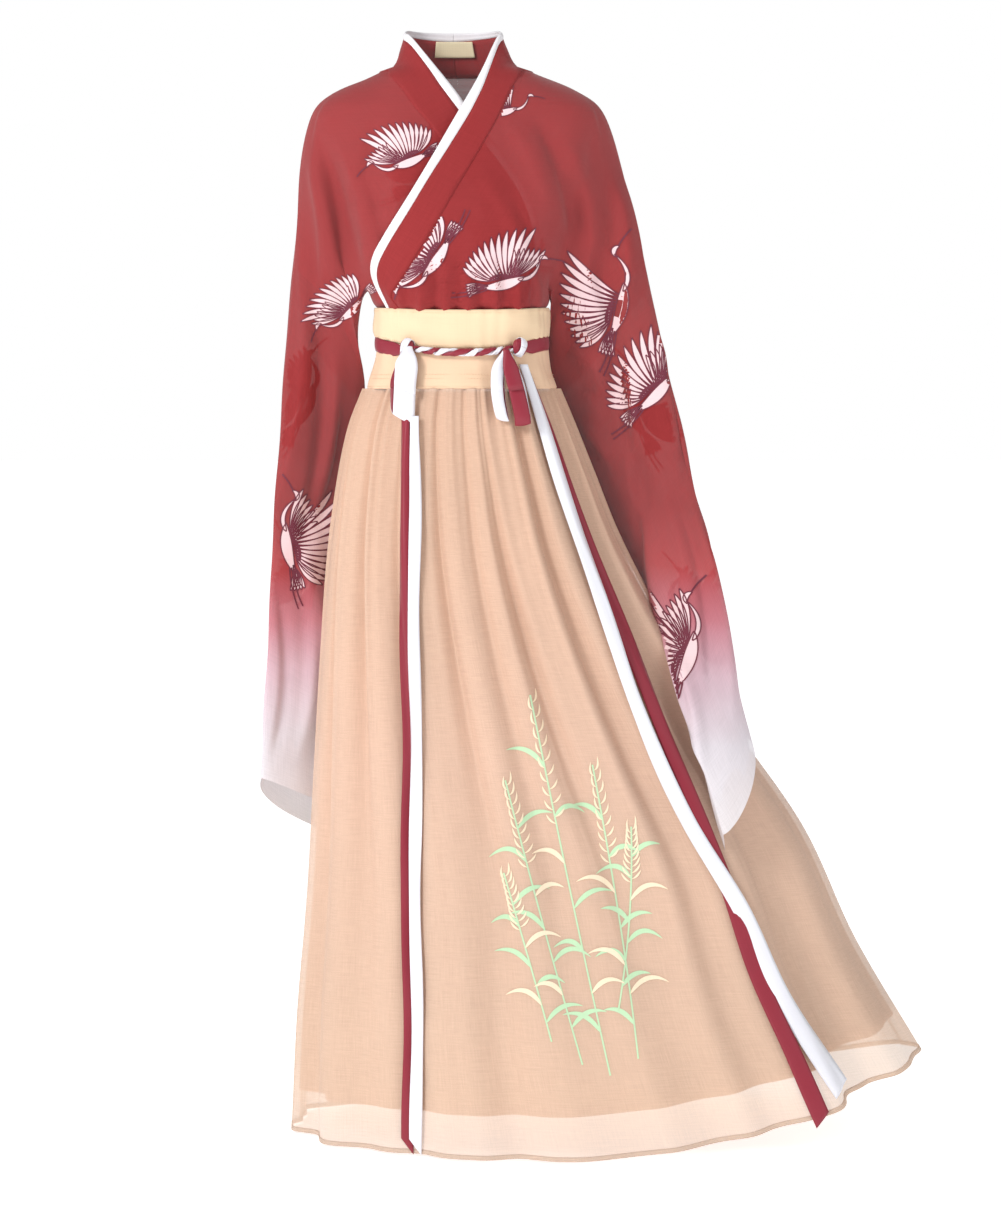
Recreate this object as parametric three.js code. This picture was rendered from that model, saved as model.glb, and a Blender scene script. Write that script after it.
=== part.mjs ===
// A two-piece hanfu, worn form with no wearer: a sheer cross-collar jacket with wide hanging sleeves,
// tucked into a high-waisted pleated skirt that is tied with two-faced ribbons. Millimetres, +Z up,
// the front faces -Y, +X is the wearer's left. The origin is at the base of the neck.
import * as THREE from "three";

// ---- driving sizes ----
const CLOTH = 1.2; // chiffon wall
const BAND_CLOTH = 2; // interfaced waistbands
const RIBBON_CLOTH = 1.2;
const SEAM_GAP = 0.5;
const LAYER = 6; // how far the outer front stands off the inner one
const BINDING_SHARE = 0.23; // share of the collar's width that its edge binding takes
const RIBBON_WIDTH = 15;
const WAIST_TOP = -300;
const BAND_JOIN = -343;
const BAND_FOOT = -397.3;
const SKIRT_TOP = -398;
const HEM = -1345;
const HEM_LIFT = 97; // how far the hem rises on the swept side
const LINING_SHARE = 0.945; // the lining's length against the skirt's
const LINING_INSET = 8;
const SKIRT_COLUMNS = 64;
const TORSO_ROUNDNESS = 0.8; // 1 is an ellipse, less is squarer

// ---- tables: one row a section or fold ----
// Torso and neck sections: height, middle, half width, depth to the front, depth to the back.
const torso = [
  { height: -360, middle: 5, half: 86, front: 71, back: 71 },
  { height: -300, middle: 5, half: 90, front: 73, back: 73 },
  { height: -284, middle: 3, half: 112, front: 90, back: 86 },
  { height: -240, middle: 0, half: 128, front: 98, back: 92 },
  { height: -190, middle: -2, half: 150, front: 102, back: 95 },
  { height: -140, middle: -2, half: 168, front: 102, back: 96 },
  { height: -95, middle: -1, half: 182, front: 97, back: 92 },
  { height: -48, middle: -1, half: 190, front: 86, back: 84 },
  { height: -28, middle: -1, half: 160, front: 80, back: 78 },
  { height: -10, middle: -1, half: 120, front: 74, back: 73 },
  { height: 0, middle: -2, half: 97, front: 69, back: 69 },
  { height: 6, middle: -3, half: 79, front: 64, back: 65 },
  { height: 30, middle: -5, half: 67, front: 58, back: 60 },
  { height: 58, middle: -6, half: 58, front: 54, back: 56 },
];
const bodyRows = [-360, -300, -284, -262, -225, -185, -145, -105, -72, -48, -30, -10, 0];
// Between the first and the last of these rows the body is open to the sleeve.
const ARMHOLE_FIRST = 3;
const ARMHOLE_LAST = 9;
const ARMHOLE_TURN = 0.06; // half the armhole's width, as a turn round the torso
// Collar of each front: where its seam runs (height, seam) and where its free edge is (edge, edgeHeight).
const collars = {
  left: [
    { height: -360, seam: -46, edge: -74, edgeHeight: -322 },
    { height: -300, seam: -70, edge: -92, edgeHeight: -282 },
    { height: -284, seam: -80, edge: -109, edgeHeight: -258 },
    { height: -262, seam: -67, edge: -105, edgeHeight: -234 },
    { height: -225, seam: -44, edge: -85, edgeHeight: -203 },
    { height: -185, seam: -20, edge: -61, edgeHeight: -164 },
    { height: -145, seam: 3, edge: -38, edgeHeight: -126 },
    { height: -105, seam: 26, edge: -13, edgeHeight: -82 },
    { height: -72, seam: 45, edge: 3, edgeHeight: -52 },
    { height: -48, seam: 57, edge: 16, edgeHeight: -30 },
    { height: -28, seam: 66, edge: 29, edgeHeight: -6 },
    { height: -10, seam: 77, edge: 42, edgeHeight: 24 },
    { height: 0, seam: 84, edge: 50, edgeHeight: 46 },
  ],
  right: [
    { height: -360, seam: 58, edge: 84, edgeHeight: -350 },
    { height: -300, seam: 62, edge: 92, edgeHeight: -296 },
    { height: -284, seam: 64, edge: 102, edgeHeight: -270 },
    { height: -262, seam: 66, edge: 110, edgeHeight: -240 },
    { height: -225, seam: 62, edge: 108, edgeHeight: -192 },
    { height: -185, seam: 45, edge: 93, edgeHeight: -150 },
    { height: -145, seam: 18, edge: 64, edgeHeight: -114 },
    { height: -105, seam: -10, edge: 30, edgeHeight: -72 },
    { height: -72, seam: -34, edge: 8, edgeHeight: -41 },
    { height: -48, seam: -54, edge: -11, edgeHeight: -17 },
    { height: -28, seam: -68, edge: -29, edgeHeight: 5 },
    { height: -10, seam: -82, edge: -49, edgeHeight: 31 },
    { height: 0, seam: -86, edge: -60, edgeHeight: 46 },
  ],
};
const COLLAR_TOP = 56;
// Sleeve sections below the armhole: outer fold (x, y, z), inner fold (x, y, z), thickness of the hang.
const sleeves = {
  left: [
    { outer: [211, 0, -130], inner: [118, 34, -328], hang: 112 },
    { outer: [237, -5, -245], inner: [121, 76, -412], hang: 86 },
    { outer: [268, -10, -380], inner: [164, 72, -518], hang: 64 },
    { outer: [296, -20, -505], inner: [240, 36, -636], hang: 46 },
    { outer: [317, -31, -590], inner: [274, -32, -697], hang: 38 },
    { outer: [330, -40, -650], inner: [276, -92, -755], hang: 34 },
    { outer: [351, -62, -760], inner: [300, -132, -850], hang: 30 },
    { outer: [366, -80, -838], inner: [330, -150, -950], hang: 44 },
  ],
  right: [
    { outer: [-201, 0, -130], inner: [-127, 12, -330], hang: 112 },
    { outer: [-208, 2, -245], inner: [-126, 64, -415], hang: 84 },
    { outer: [-221, 14, -380], inner: [-138, 92, -530], hang: 60 },
    { outer: [-233, 22, -520], inner: [-136, 116, -650], hang: 50 },
    { outer: [-242, 28, -650], inner: [-128, 138, -775], hang: 42 },
    { outer: [-250, 34, -790], inner: [-120, 158, -890], hang: 40 },
    { outer: [-256, 40, -902], inner: [-112, 176, -990], hang: 50 },
  ],
};
const SLEEVE_SEAM_RING = 2; // the sleeve is sewn to the body's own short sleeve at this ring
// Skirt sections: share of the way down, left and right side, depth to the front and back.
const skirt = [
  { share: 0, left: -115, right: 124, depth: 92 },
  { share: 0.05, left: -133, right: 142, depth: 99 },
  { share: 0.12, left: -147, right: 166, depth: 107 },
  { share: 0.22, left: -160, right: 201, depth: 120 },
  { share: 0.35, left: -169, right: 260, depth: 136 },
  { share: 0.5, left: -177, right: 341, depth: 154 },
  { share: 0.66, left: -186, right: 434, depth: 174 },
  { share: 0.83, left: -199, right: 500, depth: 195 },
  { share: 1, left: -206, right: 584, depth: 215 },
];
// Folds: turn round the skirt (0 left side, 0.25 front, 0.5 right side), its drift by the hem,
// half width as a share of the turn, height of the ridge at the top and at the hem.
const folds = [
  { turn: 0.03, drift: -0.005, width: 0.018, top: 2, hem: 14 },
  { turn: 0.085, drift: 0.005, width: 0.02, top: 3, hem: 20 },
  { turn: 0.135, drift: 0.0, width: 0.015, top: 3, hem: 15 },
  { turn: 0.185, drift: -0.008, width: 0.017, top: 4, hem: 19 },
  { turn: 0.23, drift: 0.004, width: 0.014, top: 3, hem: 14 },
  { turn: 0.275, drift: 0.01, width: 0.016, top: 4, hem: 18 },
  { turn: 0.315, drift: 0.006, width: 0.012, top: 3, hem: 13 },
  { turn: 0.365, drift: -0.004, width: 0.02, top: 3, hem: 26 },
  { turn: 0.4, drift: 0.0, width: 0.014, top: -1, hem: -12 },
  { turn: 0.44, drift: 0.006, width: 0.016, top: 2, hem: 14 },
  { turn: 0.5, drift: 0.0, width: 0.02, top: 2, hem: 12 },
  { turn: 0.56, drift: -0.006, width: 0.016, top: 3, hem: 18 },
  { turn: 0.615, drift: 0.004, width: 0.018, top: 4, hem: 20 },
  { turn: 0.67, drift: 0.0, width: 0.015, top: 3, hem: 15 },
  { turn: 0.72, drift: 0.008, width: 0.018, top: 4, hem: 21 },
  { turn: 0.775, drift: -0.005, width: 0.015, top: 3, hem: 16 },
  { turn: 0.83, drift: 0.004, width: 0.018, top: 4, hem: 19 },
  { turn: 0.885, drift: 0.0, width: 0.015, top: 3, hem: 14 },
  { turn: 0.945, drift: 0.004, width: 0.018, top: 2, hem: 16 },
];
// Ribbon tails: height and middle of the strip, and how far it stands off the skirt.
const tails = {
  tail_right_white: { start: -440, end: -1336, lift: 5, route: [
    { height: -440, across: -53 },
    { height: -1340, across: -50 },
  ] },
  tail_right_red: { start: -436, end: -1336, lift: 9, route: [
    { height: -436, across: -64 },
    { height: -1340, across: -60 },
  ] },
  tail_left_white: { start: -368, end: -1266, lift: 9.5, route: [
    { height: -366, across: 82 },
    { height: -462, across: 114 },
    { height: -606, across: 160 },
    { height: -703, across: 192 },
    { height: -788, across: 223 },
    { height: -934, across: 287 },
    { height: -1047, across: 354 },
    { height: -1159, across: 410 },
    { height: -1270, across: 480 },
  ] },
  tail_left_red: { start: -374, end: -1300, lift: 5, route: [
    { height: -372, across: 84 },
    { height: -469, across: 120 },
    { height: -544, across: 147 },
    { height: -664, across: 192 },
    { height: -784, across: 241 },
    { height: -926, across: 300 },
    { height: -1007, across: 331 },
    { height: -1115, across: 369 },
    { height: -1215, across: 416 },
    { height: -1300, across: 452 },
  ] },
};
const TAIL_STEPS = 16;

const colours = {
  chiffon_red: 0x9a2f30,
  chiffon_peach: 0xe3bb9c,
  lining_peach: 0xdca982,
  band_cream: 0xebcfa6,
  ribbon_red: 0x8e1c30,
  ribbon_white: 0xe8e8ec,
  binding_white: 0xefeef0,
  label_cream: 0xe6d6b8,
};

// ---- small helpers ----
const V = (x, y, z) => new THREE.Vector3(x, y, z);
const clamp = (x, low, high) => Math.min(high, Math.max(low, x));
const smooth = (x) => {
  const s = clamp(x, 0, 1);
  return s * s * (3 - 2 * s);
};
const signedPower = (x, power) => Math.sign(x) * Math.abs(x) ** power;

// The value of a table's column at a key, on a smooth curve through its rows.
function read(rows, key, at, column) {
  const descending = rows[0][key] > rows[rows.length - 1][key];
  const list = descending ? [...rows].reverse() : rows;
  const value = clamp(at, list[0][key], list[list.length - 1][key]);
  let i = list.findIndex((row) => row[key] >= value);
  i = Math.max(1, i);
  const slope = (j) => {
    const a = list[Math.max(0, j - 1)];
    const b = list[Math.min(list.length - 1, j + 1)];
    return (b[column] - a[column]) / (b[key] - a[key]);
  };
  const step = list[i][key] - list[i - 1][key];
  const t = (value - list[i - 1][key]) / step;
  const h = t * t * (3 - 2 * t);
  const p = list[i - 1][column];
  const q = list[i][column];
  const bendIn = step * slope(i - 1) * t * (1 - t) ** 2;
  const bendOut = step * slope(i) * t * t * (t - 1);
  return p + (q - p) * h + bendIn + bendOut;
}

// A cloth surface of quads, cut into named pieces that meet at their seams.
class Cloth {
  points = [];
  quads = [];

  point(vector) {
    this.points.push(vector);
    return this.points.length - 1;
  }

  // Joins rows of point numbers with quads; closed rows run round to their start.
  // pieceOf names the piece of each cell, or nothing where the cloth is open.
  join(rows, closed, pieceOf) {
    for (let i = 0; i + 1 < rows.length; i++) {
      const count = rows[i].length;
      for (let j = 0; j < (closed ? count : count - 1); j++) {
        const k = (j + 1) % count;
        const piece = pieceOf(i, j);
        const corners = [rows[i][j], rows[i][k], rows[i + 1][k], rows[i + 1][j]];
        if (piece) this.quads.push({ piece, corners });
      }
    }
  }

  centre(corners) {
    const sum = V(0, 0, 0);
    corners.forEach((c) => sum.add(this.points[c]));
    return sum.divideScalar(corners.length);
  }

  normals() {
    const out = this.points.map(() => V(0, 0, 0));
    for (const { corners } of this.quads) {
      const [a, b, c, d] = corners.map((i) => this.points[i]);
      const normal = c.clone().sub(a).cross(d.clone().sub(b));
      corners.forEach((i) => out[i].add(normal));
    }
    return out.map((n) => n.normalize());
  }

  // The closed wall of one piece: outer face, inner face and rims, half the seam gap short all round.
  wall(piece, thickness) {
    const normals = this.normals();
    const quads = this.quads.filter((q) => q.piece === piece);
    const edges = new Set();
    const inward = new Map();
    for (const { corners } of quads) {
      corners.forEach((a, n) => edges.add(a + ">" + corners[(n + 1) % 4]));
      const middle = this.centre(corners);
      for (const i of corners) {
        const pull = middle.clone().sub(this.points[i]).normalize();
        inward.set(i, (inward.get(i) ?? V(0, 0, 0)).add(pull));
      }
    }
    const pairs = [...edges].map((edge) => edge.split(">").map(Number));
    const rims = pairs.filter(([a, b]) => !edges.has(b + ">" + a));
    const onRim = new Set(rims.flat());
    const number = new Map([...inward.keys()].map((i, n) => [i, n]));
    const count = number.size;
    const position = new Float32Array(count * 6);
    for (const [i, n] of number) {
      const outer = this.points[i].clone();
      if (onRim.has(i)) outer.addScaledVector(inward.get(i).normalize(), SEAM_GAP / 2);
      const inner = outer.clone().addScaledVector(normals[i], -thickness);
      outer.toArray(position, n * 3);
      inner.toArray(position, (count + n) * 3);
    }
    const faces = [];
    for (const { corners } of quads) {
      const [a, b, c, d] = corners.map((i) => number.get(i));
      faces.push(a, b, c, a, c, d);
      faces.push(count + a, count + c, count + b, count + a, count + d, count + c);
    }
    for (const [p, q] of rims) {
      const a = number.get(p);
      const b = number.get(q);
      faces.push(b, a, count + a, b, count + a, count + b);
    }
    const geometry = new THREE.BufferGeometry();
    geometry.setAttribute("position", new THREE.BufferAttribute(position, 3));
    geometry.setIndex(faces);
    geometry.computeVertexNormals();
    return geometry;
  }
}

const root = new THREE.Group();

function addMesh(name, geometry, colour, roughness = 0.8) {
  const material = new THREE.MeshStandardMaterial({ color: colours[colour], roughness, metalness: 0 });
  const mesh = new THREE.Mesh(geometry, material);
  mesh.name = name;
  root.add(mesh);
}

// ---- the jacket ----
// A point on the torso or neck. side is 1 on the wearer's left; turn is 0 at that side, 0.25 at the
// front, -0.25 at the back, and more than 0.25 where a front crosses to the other side.
function torsoPoint(side, turn, height) {
  const at = (column) => read(torso, "height", height, column);
  const angle = 2 * Math.PI * turn;
  const across = at("half") * signedPower(Math.cos(angle), TORSO_ROUNDNESS);
  const out = signedPower(Math.sin(angle), TORSO_ROUNDNESS) * (turn > 0 ? at("front") : at("back"));
  return V(at("middle") + side * across, -out, height);
}

// The turn at which the torso passes a given x on its front.
function frontTurn(side, x, height) {
  const share = (side * (x - read(torso, "height", height, "middle"))) / read(torso, "height", height, "half");
  return Math.acos(signedPower(clamp(share, -0.99, 0.99), 1 / TORSO_ROUNDNESS)) / (2 * Math.PI);
}

// The outer front stands off where it crosses; the inner one is let in below it, further over toward
// the wearer's right below the chest. Under the waistband the outer one is pressed in again.
const CROSSING = { top: 10, fade: 35 };
const OUTER_FADE = 80; // across the front
const INNER_FADE = 60;
const LET_IN = { chest: 60, waist: 120, from: -230, fade: 40 };
const TUCK = { share: 0.6, from: -276, fade: 20 };

function layered(side, point) {
  const crossing = smooth((CROSSING.top - point.z) / CROSSING.fade) * (point.y < 0 ? 1 : 0);
  const below = smooth((LET_IN.from - point.z) / LET_IN.fade);
  const letIn = LET_IN.chest + (LET_IN.waist - LET_IN.chest) * below;
  const lift = side > 0 ? 1 - smooth(point.x / OUTER_FADE) : -smooth((point.x + letIn) / INNER_FADE);
  const tucked = side > 0 ? 1 - TUCK.share * smooth((TUCK.from - point.z) / TUCK.fade) : 1;
  const out = V(point.x / 2, point.y, 0).normalize();
  return point.clone().addScaledVector(out, LAYER * lift * crossing * tucked);
}

const FRONT_STEPS = 7;
const ARM_STEPS = 4;
const BACK_STEPS = 5;
const COLLAR_STEPS = [0, 0.4, 1 - BINDING_SHARE, 1];
const COLLAR_RISE = 2.2; // the collar is at its full height after 1 / 2.2 of the way to the back

// Where a half's columns stand at a height: front edge, front of the armhole, its back, middle of the back.
function bodyTurns(side, collar, height) {
  const start = frontTurn(side, read(collar, "height", height, "seam"), height);
  const turns = [];
  for (let j = 0; j < FRONT_STEPS; j++) turns.push(start + ((ARMHOLE_TURN - start) * j) / FRONT_STEPS);
  for (let j = 0; j < ARM_STEPS; j++) turns.push(ARMHOLE_TURN * (1 - (2 * j) / ARM_STEPS));
  for (let j = 0; j <= BACK_STEPS; j++) {
    turns.push(-ARMHOLE_TURN - ((0.25 - ARMHOLE_TURN) * j) / BACK_STEPS);
  }
  return turns;
}

// The armhole's edge as a ring of point numbers: from the shoulder down the front, up the back.
function armholeRing(rows) {
  const first = FRONT_STEPS;
  const middle = first + ARM_STEPS / 2;
  const last = first + ARM_STEPS;
  const ring = [];
  for (let j = middle; j > first; j--) ring.push(rows[ARMHOLE_LAST][j]);
  for (let i = ARMHOLE_LAST; i > ARMHOLE_FIRST; i--) ring.push(rows[i][first]);
  for (let j = first; j < last; j++) ring.push(rows[ARMHOLE_FIRST][j]);
  for (let i = ARMHOLE_FIRST; i < ARMHOLE_LAST; i++) ring.push(rows[i][last]);
  for (let j = last; j > middle; j--) ring.push(rows[ARMHOLE_LAST][j]);
  return ring;
}

// A ring of points round a hanging sleeve: an oval between its outer and its inner fold.
function sleeveRing(section, count, side) {
  const outer = V(...section.outer);
  const inner = V(...section.inner);
  const middle = outer.clone().add(inner).multiplyScalar(0.5);
  const reach = outer.clone().sub(inner).multiplyScalar(0.5);
  const level = V(reach.x, reach.y, 0).normalize();
  const toFront = V(level.y, -level.x, 0).multiplyScalar((side * section.hang) / 2);
  return Array.from({ length: count }, (_, k) => {
    const angle = (2 * Math.PI * k) / count;
    return middle.clone().addScaledVector(reach, Math.cos(angle)).addScaledVector(toFront, Math.sin(angle));
  });
}

// One half of the jacket: body and short sleeve in one, hanging sleeve, collar band and its binding.
function jacketHalf(name, side) {
  const cloth = new Cloth();
  const collar = collars[name];
  const rows = bodyRows.map((height) =>
    bodyTurns(side, collar, height).map((turn) => cloth.point(layered(side, torsoPoint(side, turn, height)))),
  );
  const inArmhole = (i, j) =>
    i >= ARMHOLE_FIRST && i < ARMHOLE_LAST && j >= FRONT_STEPS && j < FRONT_STEPS + ARM_STEPS;
  const turned = (list) => list.map((row) => [...row].reverse());
  const facing = (list) => (side > 0 ? list : turned(list));
  const width = rows[0].length - 1;
  cloth.join(facing(rows), false, (i, j) =>
    inArmhole(i, side > 0 ? j : width - 1 - j) ? undefined : "body_" + name,
  );
  const armhole = armholeRing(rows);
  const rings = sleeves[name].map((section) =>
    sleeveRing(section, armhole.length, side).map((p) => cloth.point(p)),
  );
  cloth.join(facing([armhole, ...rings]), true, (i) =>
    i < SLEEVE_SEAM_RING ? "body_" + name : "sleeve_" + name,
  );
  // The collar grows from the body's front edge, round the neck to the middle of the back.
  const top = bodyRows.length - 1;
  const neck = bodyTurns(side, collar, 0);
  const frontStations = bodyRows.map((height, i) => {
    const edgeHeight = read(collar, "height", height, "edgeHeight");
    const edgeTurn = frontTurn(side, read(collar, "height", height, "edge"), edgeHeight);
    const turn = frontTurn(side, read(collar, "height", height, "seam"), height);
    return { seam: rows[i][0], turn, height, edgeTurn, edgeHeight };
  });
  const edgeStart = frontStations[top];
  const neckStations = neck.slice(1).map((turn, j) => {
    const share = (j + 1) / (neck.length - 1);
    const edgeTurn = edgeStart.edgeTurn + (-0.25 - edgeStart.edgeTurn) * share;
    const rise = (COLLAR_TOP - edgeStart.edgeHeight) * smooth(share * COLLAR_RISE);
    const edgeHeight = edgeStart.edgeHeight + rise;
    return { seam: rows[top][j + 1], turn, height: 0, edgeTurn, edgeHeight };
  });
  const stations = [...frontStations, ...neckStations].map(({ seam, turn, height, edgeTurn, edgeHeight }) =>
    COLLAR_STEPS.map((share) => {
      if (share === 0) return seam;
      const at = torsoPoint(side, turn + (edgeTurn - turn) * share, height + (edgeHeight - height) * share);
      return cloth.point(layered(side, at));
    }),
  );
  const strips = COLLAR_STEPS.length - 1;
  cloth.join(side > 0 ? turned(stations) : stations, false, (i, j) => {
    const across = side > 0 ? strips - 1 - j : j;
    return across === strips - 1 ? "collar_binding_" + name : "collar_band_" + name;
  });
  return cloth;
}

for (const [name, side] of [["left", 1], ["right", -1]]) {
  const cloth = jacketHalf(name, side);
  addMesh("body_" + name, cloth.wall("body_" + name, CLOTH), "chiffon_red");
  addMesh("sleeve_" + name, cloth.wall("sleeve_" + name, CLOTH), "chiffon_red");
  addMesh("collar_band_" + name, cloth.wall("collar_band_" + name, CLOTH), "chiffon_red");
  addMesh("collar_binding_" + name, cloth.wall("collar_binding_" + name, CLOTH), "binding_white");
}

// ---- the skirt ----
const turnGap = (a, b) => Math.abs(((a - b + 1.5) % 1) - 0.5);

function foldHeight(turn, share) {
  let height = 0;
  for (const fold of folds) {
    const gap = turnGap(turn, fold.turn + fold.drift * share) / fold.width;
    height += (fold.top + (fold.hem - fold.top) * share) * Math.exp(-gap * gap);
  }
  return height;
}

// How much the hem is lifted at a turn: it sweeps up on the wearer's left.
const SWEEP = { turn: 0.5, reach: 0.28 };
const hemLift = (turn) => HEM_LIFT * smooth((SWEEP.reach - Math.abs(turn - SWEEP.turn)) / SWEEP.reach);

// A point of the skirt: turn round it, share of the way down, and how far inside the outer cloth.
function skirtPoint(turn, share, inset) {
  const at = (column) => read(skirt, "share", share, column);
  const angle = 2 * Math.PI * turn;
  const middle = (at("left") + at("right")) / 2;
  const half = (at("right") - at("left")) / 2 - inset;
  const depth = at("depth") - inset;
  const ridge = foldHeight(turn, share);
  const across = -Math.cos(angle);
  const out = Math.sin(angle);
  const height = SKIRT_TOP + (HEM + hemLift(turn) - SKIRT_TOP) * share;
  return V(middle + across * (half + ridge), -out * (depth + ridge), height);
}

const skirtShares = [0, 0.06, 0.15, 0.27, 0.41, 0.56, 0.72, 0.87, 1];
const liningShares = [0.004, 0.15, 0.27, 0.41, 0.56, 0.72, 0.87, LINING_SHARE];

function skirtGrid(shares, inset) {
  return shares.map((share) =>
    Array.from({ length: SKIRT_COLUMNS }, (_, j) => skirtPoint(j / SKIRT_COLUMNS, share, inset)),
  );
}

// A wall round the body from rings of points, top first.
function ringWall(name, grid, thickness, colour) {
  const cloth = new Cloth();
  const rows = grid.map((ring) => ring.map((p) => cloth.point(p)));
  cloth.join(rows.reverse(), true, () => name);
  addMesh(name, cloth.wall(name, thickness), colour);
}

const skirtRings = skirtGrid(skirtShares, 0);
ringWall("skirt_outer", skirtRings, CLOTH, "chiffon_peach");
ringWall("skirt_lining", skirtGrid(liningShares, LINING_INSET), CLOTH, "lining_peach");

// ---- the waistbands and the tie round them ----
// Band sections: height, half width, depth.
const bands = {
  waistband_upper: [
    { height: WAIST_TOP, half: 109, depth: 91 },
    { height: -320, half: 110, depth: 92 },
    { height: BAND_JOIN, half: 107, depth: 90 },
  ],
  waistband_lower: [
    { height: BAND_JOIN, half: 107, depth: 90 },
    { height: -370, half: 111, depth: 92 },
    { height: BAND_FOOT, half: 119, depth: 94 },
  ],
};
const BAND_COLUMNS = 36;
const BAND_MIDDLE = 5;

function bandPoint(turn, section, lift) {
  const angle = 2 * Math.PI * turn;
  const across = signedPower(-Math.cos(angle), TORSO_ROUNDNESS) * (section.half + lift);
  const out = signedPower(Math.sin(angle), TORSO_ROUNDNESS) * (section.depth + lift);
  return V(BAND_MIDDLE + across, -out, section.height);
}

for (const [name, sections] of Object.entries(bands)) {
  const rings = sections.map((section) =>
    Array.from({ length: BAND_COLUMNS }, (_, j) => bandPoint(j / BAND_COLUMNS, section, 0)),
  );
  ringWall(name, rings, BAND_CLOTH, "band_cream");
}

// A strip of ribbon: rows of points across it, front face out.
function stripWall(name, grid, thickness, colour) {
  const cloth = new Cloth();
  const rows = grid.map((row) => row.map((p) => cloth.point(p)));
  cloth.join(rows.reverse(), false, () => name);
  addMesh(name, cloth.wall(name, thickness), colour);
}

// The tie lies flat round the sides and back, from one knot to the other.
const KNOT_TURN = { right: 0.165, left: 0.345 };
const KNOT_SIZE = 9;
const KNOT_SHAPE = [1.05, 0.75, 1.15];
const TIE_LIFT = 3.2;
const TIE_STEPS = 30;
const tieEdges = [
  { height: BAND_JOIN + 5, half: 107, depth: 90 },
  { height: BAND_JOIN - 15, half: 108, depth: 91 },
];
const KNOT_CLEAR = 0.018; // the tie and the twist stop this far short of a knot's middle
const tieStart = KNOT_TURN.left + KNOT_CLEAR;
const tieLength = 1 + KNOT_TURN.right - KNOT_CLEAR - tieStart;
const tieRows = tieEdges.map((section) =>
  Array.from({ length: TIE_STEPS + 1 }, (_, j) =>
    bandPoint((tieStart + (tieLength * j) / TIE_STEPS) % 1, section, TIE_LIFT),
  ),
);
stripWall("tie_wrap", tieRows, RIBBON_CLOTH, "ribbon_red");

// A round rod along a route, with closed ends.
function rod(name, route, radius, colour) {
  const shape = new THREE.Shape();
  shape.absarc(0, 0, radius, 0, 2 * Math.PI);
  const path = new THREE.CatmullRomCurve3(route);
  const steps = (route.length - 1) * 2;
  const options = { extrudePath: path, steps, curveSegments: 4, bevelEnabled: false };
  addMesh(name, new THREE.ExtrudeGeometry(shape, options), colour);
}

const TWIST_RADIUS = 5;
const tieLevel = { height: BAND_JOIN - 5, half: 108, depth: 91 };
const twistTurns = [0.02, 0.2, 0.4, 0.6, 0.8, 0.98].map((share) => {
  const span = KNOT_TURN.left - KNOT_TURN.right - 2 * KNOT_CLEAR;
  return KNOT_TURN.right + KNOT_CLEAR + span * share;
});
const twistRoute = twistTurns.map((turn) => bandPoint(turn, tieLevel, TWIST_RADIUS + 1));
rod("tie_twist", twistRoute, TWIST_RADIUS, "ribbon_white");

for (const [name, turn] of Object.entries(KNOT_TURN)) {
  const knot = new THREE.SphereGeometry(KNOT_SIZE, 10, 7);
  knot.scale(...KNOT_SHAPE);
  const at = bandPoint(turn, tieLevel, KNOT_SIZE);
  knot.translate(at.x, at.y, at.z);
  addMesh("knot_" + name, knot, "ribbon_red");
}

// ---- the bows' loops ----
// A loop leaves the knot to the front, hangs down and comes back up behind itself, open at its sides.
// Sections of each loop's middle: x, stand off the band, height.
const loops = {
  loop_right: { half: 12, colour: "ribbon_white", route: [
    [-58, 15, -361], [-58, 21, -375], [-60, 24, -400], [-62, 22, -424],
    [-62, 17, -434], [-62, 12, -426], [-60, 11, -400], [-58, 11, -375], [-58, 11, -362],
  ] },
  loop_left_red: { half: 10, colour: "ribbon_red", route: [
    [72, 17, -361], [74, 23, -376], [79, 27, -404], [82, 25, -432],
    [82, 19, -442], [82, 14, -434], [79, 12, -404], [74, 12, -376], [72, 13, -362],
  ] },
  loop_left_white: { half: 8, colour: "ribbon_white", route: [
    [53, 12, -364], [52, 17, -380], [52, 19, -404], [53, 18, -430],
    [53, 13, -438], [53, 9, -430], [52, 7, -404], [52, 7, -380], [53, 8, -365],
  ] },
};

// How far forward the skirt or the band stands at a place on the front.
function frontDepth(x, height) {
  const share = clamp((SKIRT_TOP - height) / (SKIRT_TOP - HEM), 0, 1);
  const at = (column) => read(skirt, "share", share, column);
  const middle = (at("left") + at("right")) / 2;
  const half = (at("right") - at("left")) / 2;
  const along = clamp(Math.abs(x - middle) / half, 0, 0.97);
  const power = 2 / (height > SKIRT_TOP ? TORSO_ROUNDNESS : 1);
  return at("depth") * (1 - along ** power) ** (1 / power);
}

for (const [name, loop] of Object.entries(loops)) {
  const rows = loop.route.map(([x, off, height]) =>
    [-1, 1].map((end) => V(x + end * loop.half, -frontDepth(x, height) - off, height)),
  );
  stripWall(name, rows, RIBBON_CLOTH, loop.colour);
}

// ---- the hanging tails ----
// A point on the faceted skirt's outside, between its grid's points, moved out by a lift.
function onSkirt(turn, share, lift) {
  const i = clamp(skirtShares.findIndex((s) => s >= share), 1, skirtShares.length - 1);
  const t = (share - skirtShares[i - 1]) / (skirtShares[i] - skirtShares[i - 1]);
  const column = turn * SKIRT_COLUMNS;
  const j = Math.floor(column);
  const corner = (row, n) => skirtRings[row][n % SKIRT_COLUMNS];
  const across = (row) => corner(row, j).clone().lerp(corner(row, j + 1), column - j);
  const at = across(i - 1).lerp(across(i), t);
  const middle = (read(skirt, "share", share, "left") + read(skirt, "share", share, "right")) / 2;
  return at.addScaledVector(V((at.x - middle) / 2, at.y, 0).normalize(), lift);
}

// The skirt's turn and share under a place seen from the front, found by turns.
const FINDING_PASSES = 12;

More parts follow.
